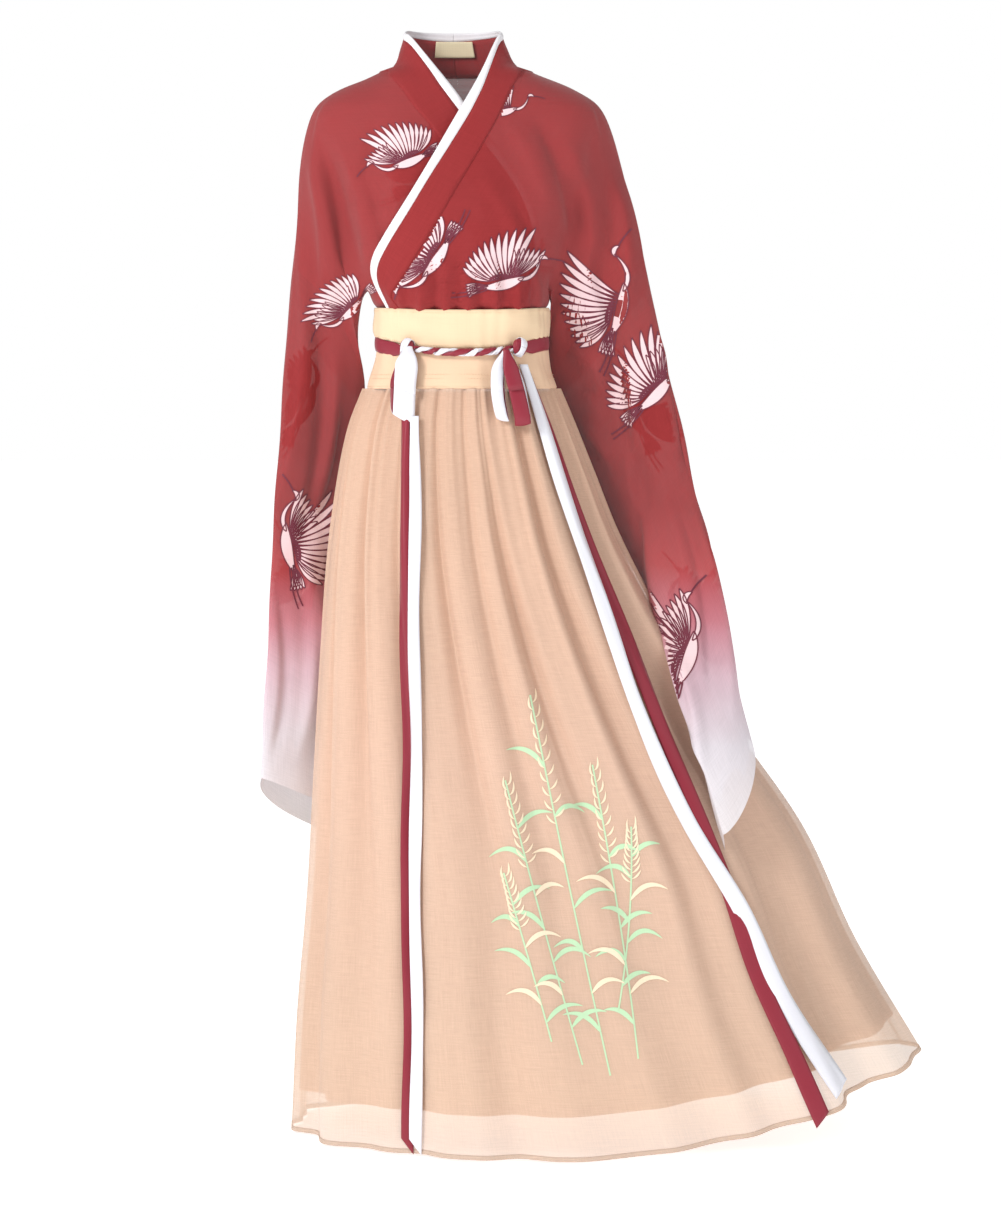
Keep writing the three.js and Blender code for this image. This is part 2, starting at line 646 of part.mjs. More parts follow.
function underneath(x, height) {
  let turn = 0.25;
  let share = 0;
  for (let pass = 0; pass < FINDING_PASSES; pass++) {
    share = clamp((SKIRT_TOP - height) / (SKIRT_TOP - HEM - hemLift(turn)), 0, 1);
    const at = (column) => read(skirt, "share", share, column);
    const middle = (at("left") + at("right")) / 2;
    const half = (at("right") - at("left")) / 2;
    turn = Math.acos(clamp((middle - x) / half, -1, 1)) / (2 * Math.PI);
  }
  return { turn, share };
}

for (const [name, tail] of Object.entries(tails)) {
  const rows = Array.from({ length: TAIL_STEPS + 1 }, (_, i) => {
    const height = tail.start + ((tail.end - tail.start) * i) / TAIL_STEPS;
    const x = read(tail.route, "height", height, "across");
    return [-0.5, 0.5].map((side) => {
      const edge = x + side * RIBBON_WIDTH;
      if (height > SKIRT_TOP) return V(edge, -frontDepth(edge, height) - tail.lift, height);
      const { turn, share } = underneath(edge, height);
      const at = onSkirt(turn, share, tail.lift);
      at.z = Math.min(height, at.z);
      return at;
    });
  });
  stripWall(name, rows, RIBBON_CLOTH, name.endsWith("red") ? "ribbon_red" : "ribbon_white");
}

// ---- the bare label inside the back of the neck ----
const LABEL_TURN = 0.2;
const LABEL_CLEAR = 3;
const LABEL_CLOTH = 0.8;
const LABEL_EDGES = [44, 26];
const labelRows = LABEL_EDGES.map((height) =>
  [[-1, -LABEL_TURN], [1, -0.25], [1, -LABEL_TURN]].map(([side, turn]) => {
    const at = torsoPoint(side, turn, height);
    return at.addScaledVector(V(at.x, at.y, 0).normalize(), -CLOTH - LABEL_CLEAR);
  }),
);
stripWall("neck_label", labelRows, LABEL_CLOTH, "label_cream");

export default root;
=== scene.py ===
"""A hollow worn-form hanfu: a sheer cross-collar jacket with wide hanging sleeves and crane prints, tucked
into a high-waisted pleated skirt with reed embroidery, tied with two-faced ribbons.

The tables are in millimetres in the frame's own axes: +X is the wearer's left, the front faces -Y and the
origin is the base of the neck. Meshes are made in metres."""

import math
import random

import bpy
import numpy as np
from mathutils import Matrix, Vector
from mathutils.bvhtree import BVHTree


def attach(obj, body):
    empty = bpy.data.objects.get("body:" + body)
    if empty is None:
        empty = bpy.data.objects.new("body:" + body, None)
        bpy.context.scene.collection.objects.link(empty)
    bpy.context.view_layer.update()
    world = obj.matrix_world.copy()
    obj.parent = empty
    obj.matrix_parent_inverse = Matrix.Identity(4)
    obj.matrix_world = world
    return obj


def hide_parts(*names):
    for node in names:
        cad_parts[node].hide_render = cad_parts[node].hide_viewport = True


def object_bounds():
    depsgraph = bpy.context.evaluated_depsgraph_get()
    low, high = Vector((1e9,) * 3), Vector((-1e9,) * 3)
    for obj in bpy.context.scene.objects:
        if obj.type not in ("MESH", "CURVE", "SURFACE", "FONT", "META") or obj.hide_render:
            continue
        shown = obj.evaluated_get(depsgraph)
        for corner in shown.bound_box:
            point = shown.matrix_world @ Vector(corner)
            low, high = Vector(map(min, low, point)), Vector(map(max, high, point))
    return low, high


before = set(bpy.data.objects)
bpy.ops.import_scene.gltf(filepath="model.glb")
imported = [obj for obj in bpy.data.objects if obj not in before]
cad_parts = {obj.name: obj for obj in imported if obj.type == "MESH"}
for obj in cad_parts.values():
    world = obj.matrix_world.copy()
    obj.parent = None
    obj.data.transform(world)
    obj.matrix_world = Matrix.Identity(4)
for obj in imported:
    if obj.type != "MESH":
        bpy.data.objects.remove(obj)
cad_box = [list(corner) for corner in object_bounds()]
scene = bpy.context.scene

MM = 0.001


# ---------------------------------------------------------------- tables
def table(columns, *rows):
    """Rows as dictionaries under named columns."""
    names = columns.split()
    return [dict(zip(names, row)) for row in rows]


def curve(rows, key, column):
    """A smooth curve through a table's rows, as a function of its key."""
    rows = sorted(rows, key=lambda row: row[key])
    at = np.array([row[key] for row in rows], float)
    value = np.array([row[column] for row in rows], float)
    slope = np.gradient(value, at) if len(at) < 3 else np.empty_like(value)
    if len(at) > 2:
        slope[1:-1] = (value[2:] - value[:-2]) / (at[2:] - at[:-2])
        slope[0] = (value[1] - value[0]) / (at[1] - at[0])
        slope[-1] = (value[-1] - value[-2]) / (at[-1] - at[-2])

    def read(x):
        x = np.clip(x, at[0], at[-1])
        i = np.clip(np.searchsorted(at, x), 1, len(at) - 1)
        step = at[i] - at[i - 1]
        t = (x - at[i - 1]) / step
        blend = value[i - 1] + (value[i] - value[i - 1]) * t * t * (3 - 2 * t)
        return blend + step * slope[i - 1] * t * (1 - t) ** 2 + step * slope[i] * t * t * (t - 1)

    return read


def smooth(x):
    s = np.clip(x, 0, 1)
    return s * s * (3 - 2 * s)


def signed_power(x, power):
    return np.sign(x) * np.abs(x) ** power


LAYER = 6
TORSO_ROUNDNESS = 0.8
ARMHOLE_TURN = 0.06
COLLAR_TOP = 56
BAND_JOIN = -343
BAND_FOOT = -397.3
BAND_MIDDLE = 5
SKIRT_TOP = -398
HEM = -1345
HEM_LIFT = 97
LINING_SHARE = 0.945
LINING_INSET = 8
RIBBON_WIDTH = 15

torso = table(
    "height middle half front back",
    (-360, 5, 86, 71, 71), (-306, 5, 92, 76, 76), (-299, 5, 106, 87, 85), (-292, 4, 113, 92, 88),
    (-284, 3, 114, 92, 88), (-240, 0, 128, 98, 92),
    (-190, -2, 150, 102, 95), (-140, -2, 168, 102, 96), (-95, -1, 182, 97, 92), (-48, -1, 190, 86, 84),
    (-28, -1, 160, 80, 78), (-10, -1, 120, 74, 73), (0, -2, 97, 69, 69), (6, -3, 79, 64, 65),
    (30, -5, 67, 58, 60), (58, -6, 58, 54, 56),
)
body_rows = [-360, -300, -284, -262, -225, -185, -145, -105, -72, -48, -30, -10, 0]
ARMHOLE_FIRST, ARMHOLE_LAST = 3, 9
collars = {
    "left": table(
        "height seam edge edge_height",
        (-360, -46, -74, -322), (-300, -70, -92, -282), (-284, -80, -109, -258), (-262, -67, -105, -234),
        (-225, -44, -85, -203), (-185, -20, -61, -164), (-145, 3, -38, -126), (-105, 26, -13, -82),
        (-72, 45, 3, -52), (-48, 57, 16, -30), (-28, 66, 29, -6), (-10, 77, 42, 24), (0, 84, 50, 46),
    ),
    "right": table(
        "height seam edge edge_height",
        (-360, 58, 84, -350), (-300, 62, 92, -296), (-284, 64, 102, -270), (-262, 66, 110, -240),
        (-225, 62, 108, -192), (-185, 45, 93, -150), (-145, 18, 64, -114), (-105, -10, 30, -72),
        (-72, -34, 8, -41), (-48, -54, -11, -17), (-28, -68, -29, 5), (-10, -82, -49, 31), (0, -86, -60, 46),
    ),
}
# Sleeve sections below the armhole: outer fold, inner fold and thickness of the hang.
sleeves = {
    "left": [
        ((211, 0, -130), (118, 34, -328), 112), ((237, -5, -245), (121, 76, -412), 86),
        ((268, -10, -380), (160, 72, -518), 64), ((296, -20, -505), (228, 36, -636), 46),
        ((317, -31, -590), (256, -32, -697), 38), ((330, -40, -650), (266, -92, -755), 34),
        ((351, -62, -760), (300, -132, -850), 30), ((366, -80, -838), (330, -150, -950), 44),
    ],
    "right": [
        ((-201, 0, -130), (-127, 12, -330), 112), ((-208, 2, -245), (-126, 64, -415), 84),
        ((-221, 14, -380), (-138, 92, -530), 60), ((-233, 22, -520), (-136, 116, -650), 50),
        ((-242, 28, -650), (-128, 138, -775), 42), ((-250, 34, -790), (-120, 158, -890), 40),
        ((-256, 40, -902), (-112, 176, -990), 50),
    ],
}
skirt = table(
    "share left right depth",
    (0, -115, 124, 92), (0.05, -133, 142, 99), (0.12, -147, 166, 107), (0.22, -160, 201, 120),
    (0.35, -169, 260, 136), (0.5, -177, 341, 154), (0.66, -186, 434, 174), (0.83, -199, 500, 195),
    (1, -206, 584, 215),
)
folds = table(
    "turn drift width top hem",
    (0.03, -0.005, 0.018, 2, 14), (0.085, 0.005, 0.02, 3, 20), (0.135, 0, 0.015, 3, 15),
    (0.185, -0.008, 0.017, 4, 19), (0.23, 0.004, 0.014, 3, 14), (0.275, 0.01, 0.016, 4, 18),
    (0.315, 0.006, 0.012, 3, 13), (0.365, -0.004, 0.02, 3, 26), (0.4, 0, 0.014, -1, -12),
    (0.44, 0.006, 0.016, 2, 14), (0.5, 0, 0.02, 2, 12), (0.56, -0.006, 0.016, 3, 18),
    (0.615, 0.004, 0.018, 4, 20), (0.67, 0, 0.015, 3, 15), (0.72, 0.008, 0.018, 4, 21),
    (0.775, -0.005, 0.015, 3, 16), (0.83, 0.004, 0.018, 4, 19), (0.885, 0, 0.015, 3, 14),
    (0.945, 0.004, 0.018, 2, 16),
)
# Creases of the jacket as seen from the front or the back: from, to, half width, height of the ridge.
front_creases = table(
    "x0 z0 x1 z1 width ridge",
    # the wearer's right body and sleeve
    (-178, -66, -150, -335, 11, -7), (-192, -80, -176, -330, 11, 5), (-150, -70, -112, -285, 13, 4),
    (-120, -120, -88, -285, 9, -4), (-70, -90, -118, -235, 11, 3), (-98, -60, -140, -180, 12, -3),
    (-206, -150, -236, -560, 11, 5), (-186, -260, -214, -640, 12, -7), (-162, -330, -190, -560, 9, 6),
    (-146, -400, -186, -590, 9, -8), (-176, -560, -168, -900, 12, -8), (-206, -560, -214, -900, 11, 7),
    (-234, -640, -244, -890, 8, -5), (-190, -640, -186, -950, 9, 5), (-150, -640, -150, -960, 12, 6),
    # the wearer's left body and sleeve
    (52, -50, 120, -190, 13, 4), (92, -52, 150, -230, 11, -5), (136, -80, 168, -270, 12, 6),
    (20, -120, 92, -262, 12, 3), (60, -150, 110, -285, 9, -3), (192, -110, 204, -350, 11, 8),
    (166, -200, 188, -480, 13, -10), (206, -340, 218, -520, 10, 8), (192, -380, 232, -640, 9, -7),
    (216, -500, 250, -760, 10, 8), (238, -240, 288, -560, 12, -6), (224, -170, 262, -420, 9, 4),
    (262, -500, 318, -800, 12, -7), (296, -540, 344, -830, 10, 6), (262, -700, 300, -900, 8, 6),
    (122, -292, 176, -322, 7, 5), (126, -322, 184, -352, 7, -5), (134, -352, 190, -384, 7, 5),
    (146, -392, 192, -420, 7, -4), (150, -440, 200, -500, 9, 5),
)
back_creases = table(
    "x0 z0 x1 z1 width ridge",
    (-150, -60, -96, -280, 13, 5), (-120, -60, -50, -240, 12, -4), (-60, -50, -20, -260, 14, 3),
    (60, -50, 24, -260, 13, -3), (120, -60, 60, -270, 12, 5), (156, -70, 104, -280, 13, -5),
    (-196, -150, -214, -560, 12, -6), (-170, -300, -190, -700, 12, 7), (-150, -420, -160, -900, 11, -7),
    (-216, -500, -232, -880, 10, 6), (-186, -640, -190, -950, 10, -5), (200, -130, 232, -520, 12, 7),
    (226, -200, 288, -620, 12, -7), (180, -330, 226, -640, 11, 6), (256, -420, 322, -800, 11, 7),
    (290, -560, 346, -820, 10, -6), (160, -330, 196, -520, 9, -5),
)
GATHER_SPACING = 15
for number in range(15):
    across = -96 + GATHER_SPACING * number + 4 * math.sin(number * 2.3)
    lean = 5 * math.sin(number * 1.7)
    gather = (across, -232 - 16 * math.sin(number), across + lean, -330, 5.5, 4 if number % 2 else -3)
    names = "x0 z0 x1 z1 width ridge"
    front_creases += table(names, gather)
    back_creases += table(names, gather)


# ---------------------------------------------------------------- forms
torso_at = {name: curve(torso, "height", name) for name in ("middle", "half", "front", "back")}
skirt_at = {name: curve(skirt, "share", name) for name in ("left", "right", "depth")}


def torso_point(side, turn, height):
    """A place on the torso: turn is 0 at the side, 0.25 at the front and -0.25 at the back."""
    turn, height = np.broadcast_arrays(np.asarray(turn, float), np.asarray(height, float))
    angle = 2 * np.pi * turn
    across = torso_at["half"](height) * signed_power(np.cos(angle), TORSO_ROUNDNESS)
    depth = np.where(turn > 0, torso_at["front"](height), torso_at["back"](height))
    out = signed_power(np.sin(angle), TORSO_ROUNDNESS) * depth
    return np.stack([torso_at["middle"](height) + side * across, -out, height], -1)


def front_turn(side, x, height):
    share = side * (x - torso_at["middle"](height)) / torso_at["half"](height)
    return np.arccos(signed_power(np.clip(share, -0.99, 0.99), 1 / TORSO_ROUNDNESS)) / (2 * np.pi)


def layered(side, points):
    """The outer front stands off where it crosses; the inner one is let in below it."""
    x, y, z = points[..., 0], points[..., 1], points[..., 2]
    crossing = smooth((10 - z) / 35) * (y < 0)
    if side > 0:
        lift = (1 - smooth(x / 80)) * (1 - 0.6 * smooth((-276 - z) / 20))
    else:
        let_in = 60 + 60 * smooth((-230 - z) / 40)
        lift = -smooth((x + let_in) / 60)
    out = np.stack([x / 2, y, np.zeros_like(x)], -1)
    out /= np.linalg.norm(out, axis=-1, keepdims=True) + 1e-9
    return points + out * (LAYER * lift * crossing)[..., None]


CREASE_HEIGHT = 1.25


def creased(x, z, rows):
    """How far the creases of a table lift the cloth at places seen square on."""
    lift = np.zeros_like(x)
    for row in rows:
        dx, dz = row["x1"] - row["x0"], row["z1"] - row["z0"]
        length = math.hypot(dx, dz)
        along = ((x - row["x0"]) * dx + (z - row["z0"]) * dz) / length**2
        off = ((x - row["x0"]) * dz - (z - row["z0"]) * dx) / length
        off = off + 0.06 * length * np.sin(along * 3.1)
        width = row["width"] * np.where(off > 0, 0.75, 1.35)
        ends = smooth(along / 0.3) * smooth((1 - along) / 0.3)
        lift += CREASE_HEIGHT * row["ridge"] * ends * np.exp(-((off / width) ** 2))
    return lift


def rippled(points, size, height):
    """Small uneven ripples, from sums of waves across one another."""
    x, y, z = (points[..., i] / size for i in range(3))
    waves = np.sin(x * 1.7 + 2.1 * np.sin(z * 0.31 + y)) + 0.7 * np.sin(x * 2.9 - z * 0.43 + 1.3 * y)
    return height * (waves + 0.5 * np.sin(z * 1.1 + x * 0.9 + 2 * np.sin(x * 0.5 + y * 1.3))) / 2.2


def ring_gap(a, b):
    return np.abs((a - b + 1.5) % 1 - 0.5)


def skirt_point(turn, share, inset=0.0, fine=1.0):
    """A place on the skirt: turn round it from the wearer's right side by the front, share down it."""
    turn, share = np.broadcast_arrays(np.asarray(turn, float), np.asarray(share, float))
    left, right, depth = (skirt_at[name](share) for name in ("left", "right", "depth"))
    angle = 2 * np.pi * turn
    ridge = np.zeros_like(turn)
    for fold in folds:
        gap = ring_gap(turn, fold["turn"] + fold["drift"] * share) / fold["width"]
        ridge += (fold["top"] + (fold["hem"] - fold["top"]) * share) * np.exp(-gap * gap)
    ridge += fine * small_pleats(turn, share)
    lift = HEM_LIFT * smooth((0.28 - np.abs(turn % 1 - 0.5)) / 0.28)
    height = SKIRT_TOP + (HEM + lift - SKIRT_TOP) * share
    middle, half = (left + right) / 2, (right - left) / 2 - inset
    return np.stack(
        [middle - np.cos(angle) * (half + ridge), -np.sin(angle) * (depth - inset + ridge), height], -1
    )


PLEATS = 58
pleat_shift = random.Random(11)
pleat_rows = [
    {
        "turn": (n + pleat_shift.uniform(-0.32, 0.32)) / PLEATS,
        "depth": pleat_shift.uniform(0.8, 2.6),
        "reach": pleat_shift.uniform(0.25, 0.95),
        "width": pleat_shift.uniform(0.0028, 0.0052),
    }
    for n in range(PLEATS)
]
CREASE_DEPTH = 1.35

# Deep creases: turn at the top and the hem, width, depth at the top and the middle.
deep_creases = table(
    "turn hem_turn width top middle",
    (0.212, 0.212, 0.005, -4, -9), (0.281, 0.288, 0.0065, -6, -19), (0.165, 0.15, 0.006, -3, -8),
    (0.335, 0.335, 0.006, -4, -9), (0.11, 0.11, 0.007, -2, -8), (0.06, 0.055, 0.006, -2, -6),
    (0.255, 0.245, 0.005, -3, -6), (0.6, 0.59, 0.007, -3, -8), (0.7, 0.695, 0.007, -4, -9),
    (0.8, 0.8, 0.007, -3, -8), (0.9, 0.905, 0.007, -3, -7),
)


# Knife pleats pressed in at the band, a step each: turn, which way the step faces, width, height.
knife_pleats = table(
    "turn way width step",
    (0.02, 1, 0.022, 3.5), (0.07, 1, 0.02, 3.5), (0.125, 1, 0.02, 4), (0.176, 1, 0.02, 4.5), (0.2103, 1, 0.017, 4.5),
    (0.28, -1, 0.018, 5), (0.318, -1, 0.016, 4), (0.347, -1, 0.018, 4.5), (0.381, -1, 0.016, 4),
    (0.43, -1, 0.02, 3.5), (0.48, -1, 0.02, 3.5), (0.53, 1, 0.02, 3.5), (0.585, 1, 0.022, 4), (0.64, 1, 0.022, 4),
    (0.7, 1, 0.022, 4), (0.76, -1, 0.022, 4), (0.82, -1, 0.022, 4), (0.88, -1, 0.022, 4), (0.94, -1, 0.022, 3.5),
)


PLEAT_HEIGHT = 1.3


def small_pleats(turn, share):
    """The many narrow pleats sewn into the band, opening downward, and the few deep creases."""
    lift = np.zeros_like(turn)
    for row in pleat_rows:
        gap = ring_gap(turn, row["turn"]) / (row["width"] * (1 + 1.6 * share))
        fade = 1 - smooth(share / row["reach"]) * 0.85
        lift += row["depth"] * fade * np.exp(-gap * gap)
    for row in deep_creases:
        gap = ring_gap(turn, row["turn"] + (row["hem_turn"] - row["turn"]) * share)
        gap = gap / (row["width"] * (0.7 + 1.5 * share))
        depth = CREASE_DEPTH * (row["top"] + (row["middle"] - row["top"]) * smooth(share / 0.35))
        lift += depth * (1 - 0.75 * smooth((share - 0.35) / 0.6)) * np.exp(-gap * gap)
    for row in knife_pleats:
        gap = ((turn - row["turn"] + 0.5) % 1 - 0.5) * row["way"] / row["width"]
        flap = smooth((gap + 1) / 1) * np.where(gap > 0, np.exp(-((gap / 0.16) ** 2)), 1)
        lift += PLEAT_HEIGHT * row["step"] * flap * (1 - 0.8 * smooth(share / 0.9))
    wave = 3.4 * np.sin(turn * 2 * np.pi * 23 + 3 * np.sin(turn * 2 * np.pi * 5))
    return lift + wave * smooth((share - 0.45) / 0.5)


# ---------------------------------------------------------------- finishes
class Board:
    """Places nodes in one tree and links them as they are placed."""

    def __init__(self, tree):
        self.tree = tree

    def add(self, kind, inputs=None, **settings):
        node = self.tree.nodes.new("ShaderNode" + kind)
        for name, value in settings.items():
            setattr(node, name, value)
        for name, value in (inputs or {}).items():
            if isinstance(value, bpy.types.NodeSocket):
                self.tree.links.new(value, node.inputs[name])
            else:
                node.inputs[name].default_value = value
        return node

    def math(self, operation, a, b=0.0):
        return self.add("Math", {0: a, 1: b}, operation=operation).outputs[0]

    def ramp(self, factor, stops):
        node = self.add("ValToRGB", {"Fac": factor})
        elements = node.color_ramp.elements
        while len(elements) < len(stops):
            elements.new(1)
        for element, (place, colour) in zip(elements, stops):
            element.position = place
            element.color = (*colour, 1)
        return node.outputs["Color"]


def node_group(name, inputs, outputs):
    """A shader node group with named sockets; returns it, its board, its inputs and its output node."""
    tree = bpy.data.node_groups.new(name, "ShaderNodeTree")
    kinds = {"colour": "NodeSocketColor", "number": "NodeSocketFloat", "vector": "NodeSocketVector"}
    for socket, kind in inputs.items():
        tree.interface.new_socket(socket, in_out="INPUT", socket_type=kinds[kind])
    for socket, kind in outputs.items():
        tree.interface.new_socket(socket, in_out="OUTPUT", socket_type=kinds[kind])
    entry = tree.nodes.new("NodeGroupInput")
    return tree, Board(tree), entry.outputs, tree.nodes.new("NodeGroupOutput").inputs


def woven_threads():
    """Crossing warp and weft threads with slubs, from a cloth's own flat coordinates in metres."""
    tree, board, given, result = node_group(
        "woven threads", {"Flat": "vector", "Threads per metre": "number"}, {"Weave": "number"}
    )
    turns = board.math("MULTIPLY", given["Threads per metre"], 2 * math.pi)
    flat = board.add("SeparateXYZ", {0: given["Flat"]}).outputs
    warp = board.math("SINE", board.math("MULTIPLY", flat["X"], turns))
    weft = board.math("SINE", board.math("MULTIPLY", flat["Y"], turns))
    lengthwise = board.add("Mapping", {"Vector": given["Flat"], "Scale": (700, 30, 1)}).outputs[0]
    crosswise = board.add("Mapping", {"Vector": given["Flat"], "Scale": (30, 700, 1)}).outputs[0]
    slubs = board.math(
        "ADD",
        board.add("TexNoise", {"Vector": lengthwise, "Scale": 1.0, "Detail": 2.0}).outputs["Fac"],
        board.add("TexNoise", {"Vector": crosswise, "Scale": 1.0, "Detail": 2.0}).outputs["Fac"],
    )
    over = board.math("MULTIPLY", board.math("MULTIPLY", warp, weft), 0.22)
    total = board.math("ADD", board.math("MULTIPLY", slubs, 0.5), over)
    tree.links.new(total, result["Weave"])
    return tree


def uneven_dye():
    """Cloth that took its dye a little unevenly: broad clouds and the weave, in its colour."""
    tree, board, given, result = node_group(
        "uneven dye",
        {"Colour": "colour", "Place": "vector", "Weave": "number", "Clouds": "number", "Grain": "number"},
        {"Colour": "colour"},
    )
    clouds = board.add("TexNoise", {"Vector": given["Place"], "Scale": 7.0, "Detail": 3.0}).outputs["Fac"]
    cloud = board.math("MULTIPLY", board.math("SUBTRACT", clouds, 0.5), given["Clouds"])
    grain = board.math("MULTIPLY", board.math("SUBTRACT", given["Weave"], 0.5), given["Grain"])
    value = board.math("ADD", board.math("ADD", cloud, grain), 1.0)
    shade = board.add("HueSaturation", {"Color": given["Colour"], "Value": value})
    tree.links.new(shade.outputs["Color"], result["Colour"])
    return tree


def sheer_cover():
    """How much of what lies behind a sheer cloth is covered, thread by thread."""
    tree, board, given, result = node_group(
        "sheer cover", {"Weave": "number", "Cover": "number", "Openness": "number"}, {"Alpha": "number"}
    )
    gap = board.math("MULTIPLY", board.math("SUBTRACT", given["Weave"], 0.5), given["Openness"])
    alpha = board.math("ADD", given["Cover"], gap)
    tree.links.new(board.math("MINIMUM", alpha, 1.0), result["Alpha"])
    return tree


groups = {"threads": woven_threads(), "dye": uneven_dye(), "cover": sheer_cover()}


def cloth_finish(name, colour, threads, cover=None, sheen=0.12, roughness=0.75, clouds=0.2, grain=0.25,
                 relief=0.12, gloss=0.25):
    """A cloth material. colour is one colour or a function that draws it from the board and the place."""
    material = bpy.data.materials.new(name)
    material.use_nodes = True
    board = Board(material.node_tree)
    shader = material.node_tree.nodes["Principled BSDF"]
    shader.inputs["Roughness"].default_value = roughness
    shader.inputs["Sheen Weight"].default_value = sheen
    shader.inputs["Sheen Roughness"].default_value = 0.5
    shader.inputs["Specular IOR Level"].default_value = gloss
    place = board.add("TexCoord").outputs
    weave = board.add("Group", node_tree=groups["threads"])
    material.node_tree.links.new(place["UV"], weave.inputs["Flat"])
    weave.inputs["Threads per metre"].default_value = threads
    dye = board.add("Group", node_tree=groups["dye"])
    for socket, value in {"Clouds": clouds, "Grain": grain}.items():
        dye.inputs[socket].default_value = value
    material.node_tree.links.new(place["Object"], dye.inputs["Place"])
    material.node_tree.links.new(weave.outputs["Weave"], dye.inputs["Weave"])
    if callable(colour):
        material.node_tree.links.new(colour(board, place["Object"]), dye.inputs["Colour"])
    else:
        dye.inputs["Colour"].default_value = (*colour, 1)
    material.node_tree.links.new(dye.outputs["Colour"], shader.inputs["Base Color"])
    bump = board.add("Bump", {"Strength": relief, "Distance": 0.0004, "Height": weave.outputs["Weave"]})
    material.node_tree.links.new(bump.outputs["Normal"], shader.inputs["Normal"])
    if cover is not None:
        sheer = board.add("Group", node_tree=groups["cover"])
        sheer.inputs["Openness"].default_value = 0.25
        if callable(cover):
            material.node_tree.links.new(cover(board, place["Object"]), sheer.inputs["Cover"])
        else:
            sheer.inputs["Cover"].default_value = cover
        material.node_tree.links.new(weave.outputs["Weave"], sheer.inputs["Weave"])
        material.node_tree.links.new(sheer.outputs["Alpha"], shader.inputs["Alpha"])
    return material


def height_share(board, place, low, high, wobble):
    """0 at a low height and 1 at a high one, with a soft uneven front."""
    z = board.add("SeparateXYZ", {0: place}).outputs["Z"]
    noise = board.add("TexNoise", {"Vector": place, "Scale": 6.0, "Detail": 3.0}).outputs["Fac"]
    uneven = board.math("ADD", z, board.math("MULTIPLY", board.math("SUBTRACT", noise, 0.5), wobble))
    return board.add("MapRange", {"Value": uneven, "From Min": low, "From Max": high}).outputs[0]


RED = (0.31, 0.024, 0.026)
SLEEVE_DIP = (
    (0.0, (0.82, 0.80, 0.82)), (0.28, (0.76, 0.71, 0.76)), (0.46, (0.70, 0.48, 0.55)),
    (0.6, (0.58, 0.20, 0.24)), (0.74, (0.44, 0.055, 0.06)), (0.9, RED), (1.0, RED),
)


def dip_dyed(board, place):
    """Red chiffon whose sleeve ends were dipped to white by way of pink."""
    return board.ramp(height_share(board, place, -0.98, -0.50, 0.05), SLEEVE_DIP)


def skirt_shade(board, place):
    """Peach that deepens a little toward the waist and greys at the hem where no lining backs it."""
    stops = ((0, (0.70, 0.53, 0.42)), (0.06, (0.78, 0.58, 0.44)), (0.5, (0.80, 0.57, 0.44)), (1, (0.76, 0.52, 0.38)))
    return board.ramp(height_share(board, place, -1.33, -0.40, 0.03), stops)


finish = {
    "jacket_chiffon": cloth_finish("jacket chiffon", RED, 1500, cover=0.86, grain=0.14, clouds=0.22),
    "sleeve_chiffon": cloth_finish("sleeve chiffon, dip dyed", dip_dyed, 1500, cover=0.82, grain=0.14, clouds=0.2),
    "binding_white": cloth_finish("binding satin", (0.86, 0.84, 0.87), 1100, roughness=0.5, gloss=0.4, grain=0.12),
    "skirt_chiffon": cloth_finish("skirt chiffon", skirt_shade, 1500, cover=0.66, grain=0.12, clouds=0.1),
    "skirt_lining": cloth_finish("skirt lining", (0.70, 0.42, 0.29), 1200, clouds=0.15, grain=0.2),
    "band_cream": cloth_finish("waistband, cream", (0.82, 0.62, 0.41), 900, grain=0.12, clouds=0.12),
    "band_peach": cloth_finish("waistband, peach", (0.80, 0.56, 0.38), 900, grain=0.12, clouds=0.12),
    "ribbon_red": cloth_finish("ribbon satin, red", (0.26, 0.012, 0.03), 1100, roughness=0.45, gloss=0.45),
    "ribbon_white": cloth_finish("ribbon satin, white", (0.80, 0.80, 0.86), 1100, roughness=0.45, gloss=0.45,
                                 grain=0.12),
    "print_white": cloth_finish("crane print, pale", (0.84, 0.62, 0.64), 1500, grain=0.2),
    "print_plum": cloth_finish("crane print, plum", (0.16, 0.03, 0.05), 1500, grain=0.2),
    "thread_green": cloth_finish("embroidery thread, green", (0.50, 0.72, 0.46), 2200, roughness=0.5, gloss=0.4),
    "thread_cream": cloth_finish("embroidery thread, cream", (0.88, 0.74, 0.54), 2200, roughness=0.5, gloss=0.4),
    "label_cloth": cloth_finish("label cloth", (0.80, 0.70, 0.48), 900),
}


# ---------------------------------------------------------------- meshes
def piece(name, slot, points, faces, flat, replaces=(), shade_smooth=True):
    """One visible piece in metres, with its flat coordinates as a UV map, riding on the garment's body."""
    mesh = bpy.data.meshes.new(name)
    mesh.from_pydata((np.asarray(points) * MM).tolist(), [], np.asarray(faces).tolist())
    layer = mesh.uv_layers.new(name="flat")
    loops = np.empty(len(mesh.loops), np.int32)
    mesh.loops.foreach_get("vertex_index", loops)
    layer.data.foreach_set("uv", (np.asarray(flat)[loops] * MM).astype(np.float32).ravel())
    mesh.polygons.foreach_set("use_smooth", [shade_smooth] * len(mesh.polygons))
    made = bpy.data.objects.new(name, mesh)
    scene.collection.objects.link(made)
    mesh.materials.append(finish[slot])
    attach(made, "root")
    if replaces:
        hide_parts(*replaces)
    return made


def grid_faces(index, closed=False, flip=False):
    """Quads between the rows of a grid of point numbers."""
    right = np.roll(index, -1, axis=1) if closed else index[:, 1:]
    left = index if closed else index[:, :-1]
    quads = np.stack([left[:-1], right[:-1], right[1:], left[1:]], -1).reshape(-1, 4)
    return quads[:, ::-1] if flip else quads


def face_normals(points, quads):
    a, b, c, d = (points[quads[:, i]] for i in range(4))
    return np.cross(c - a, d - b)


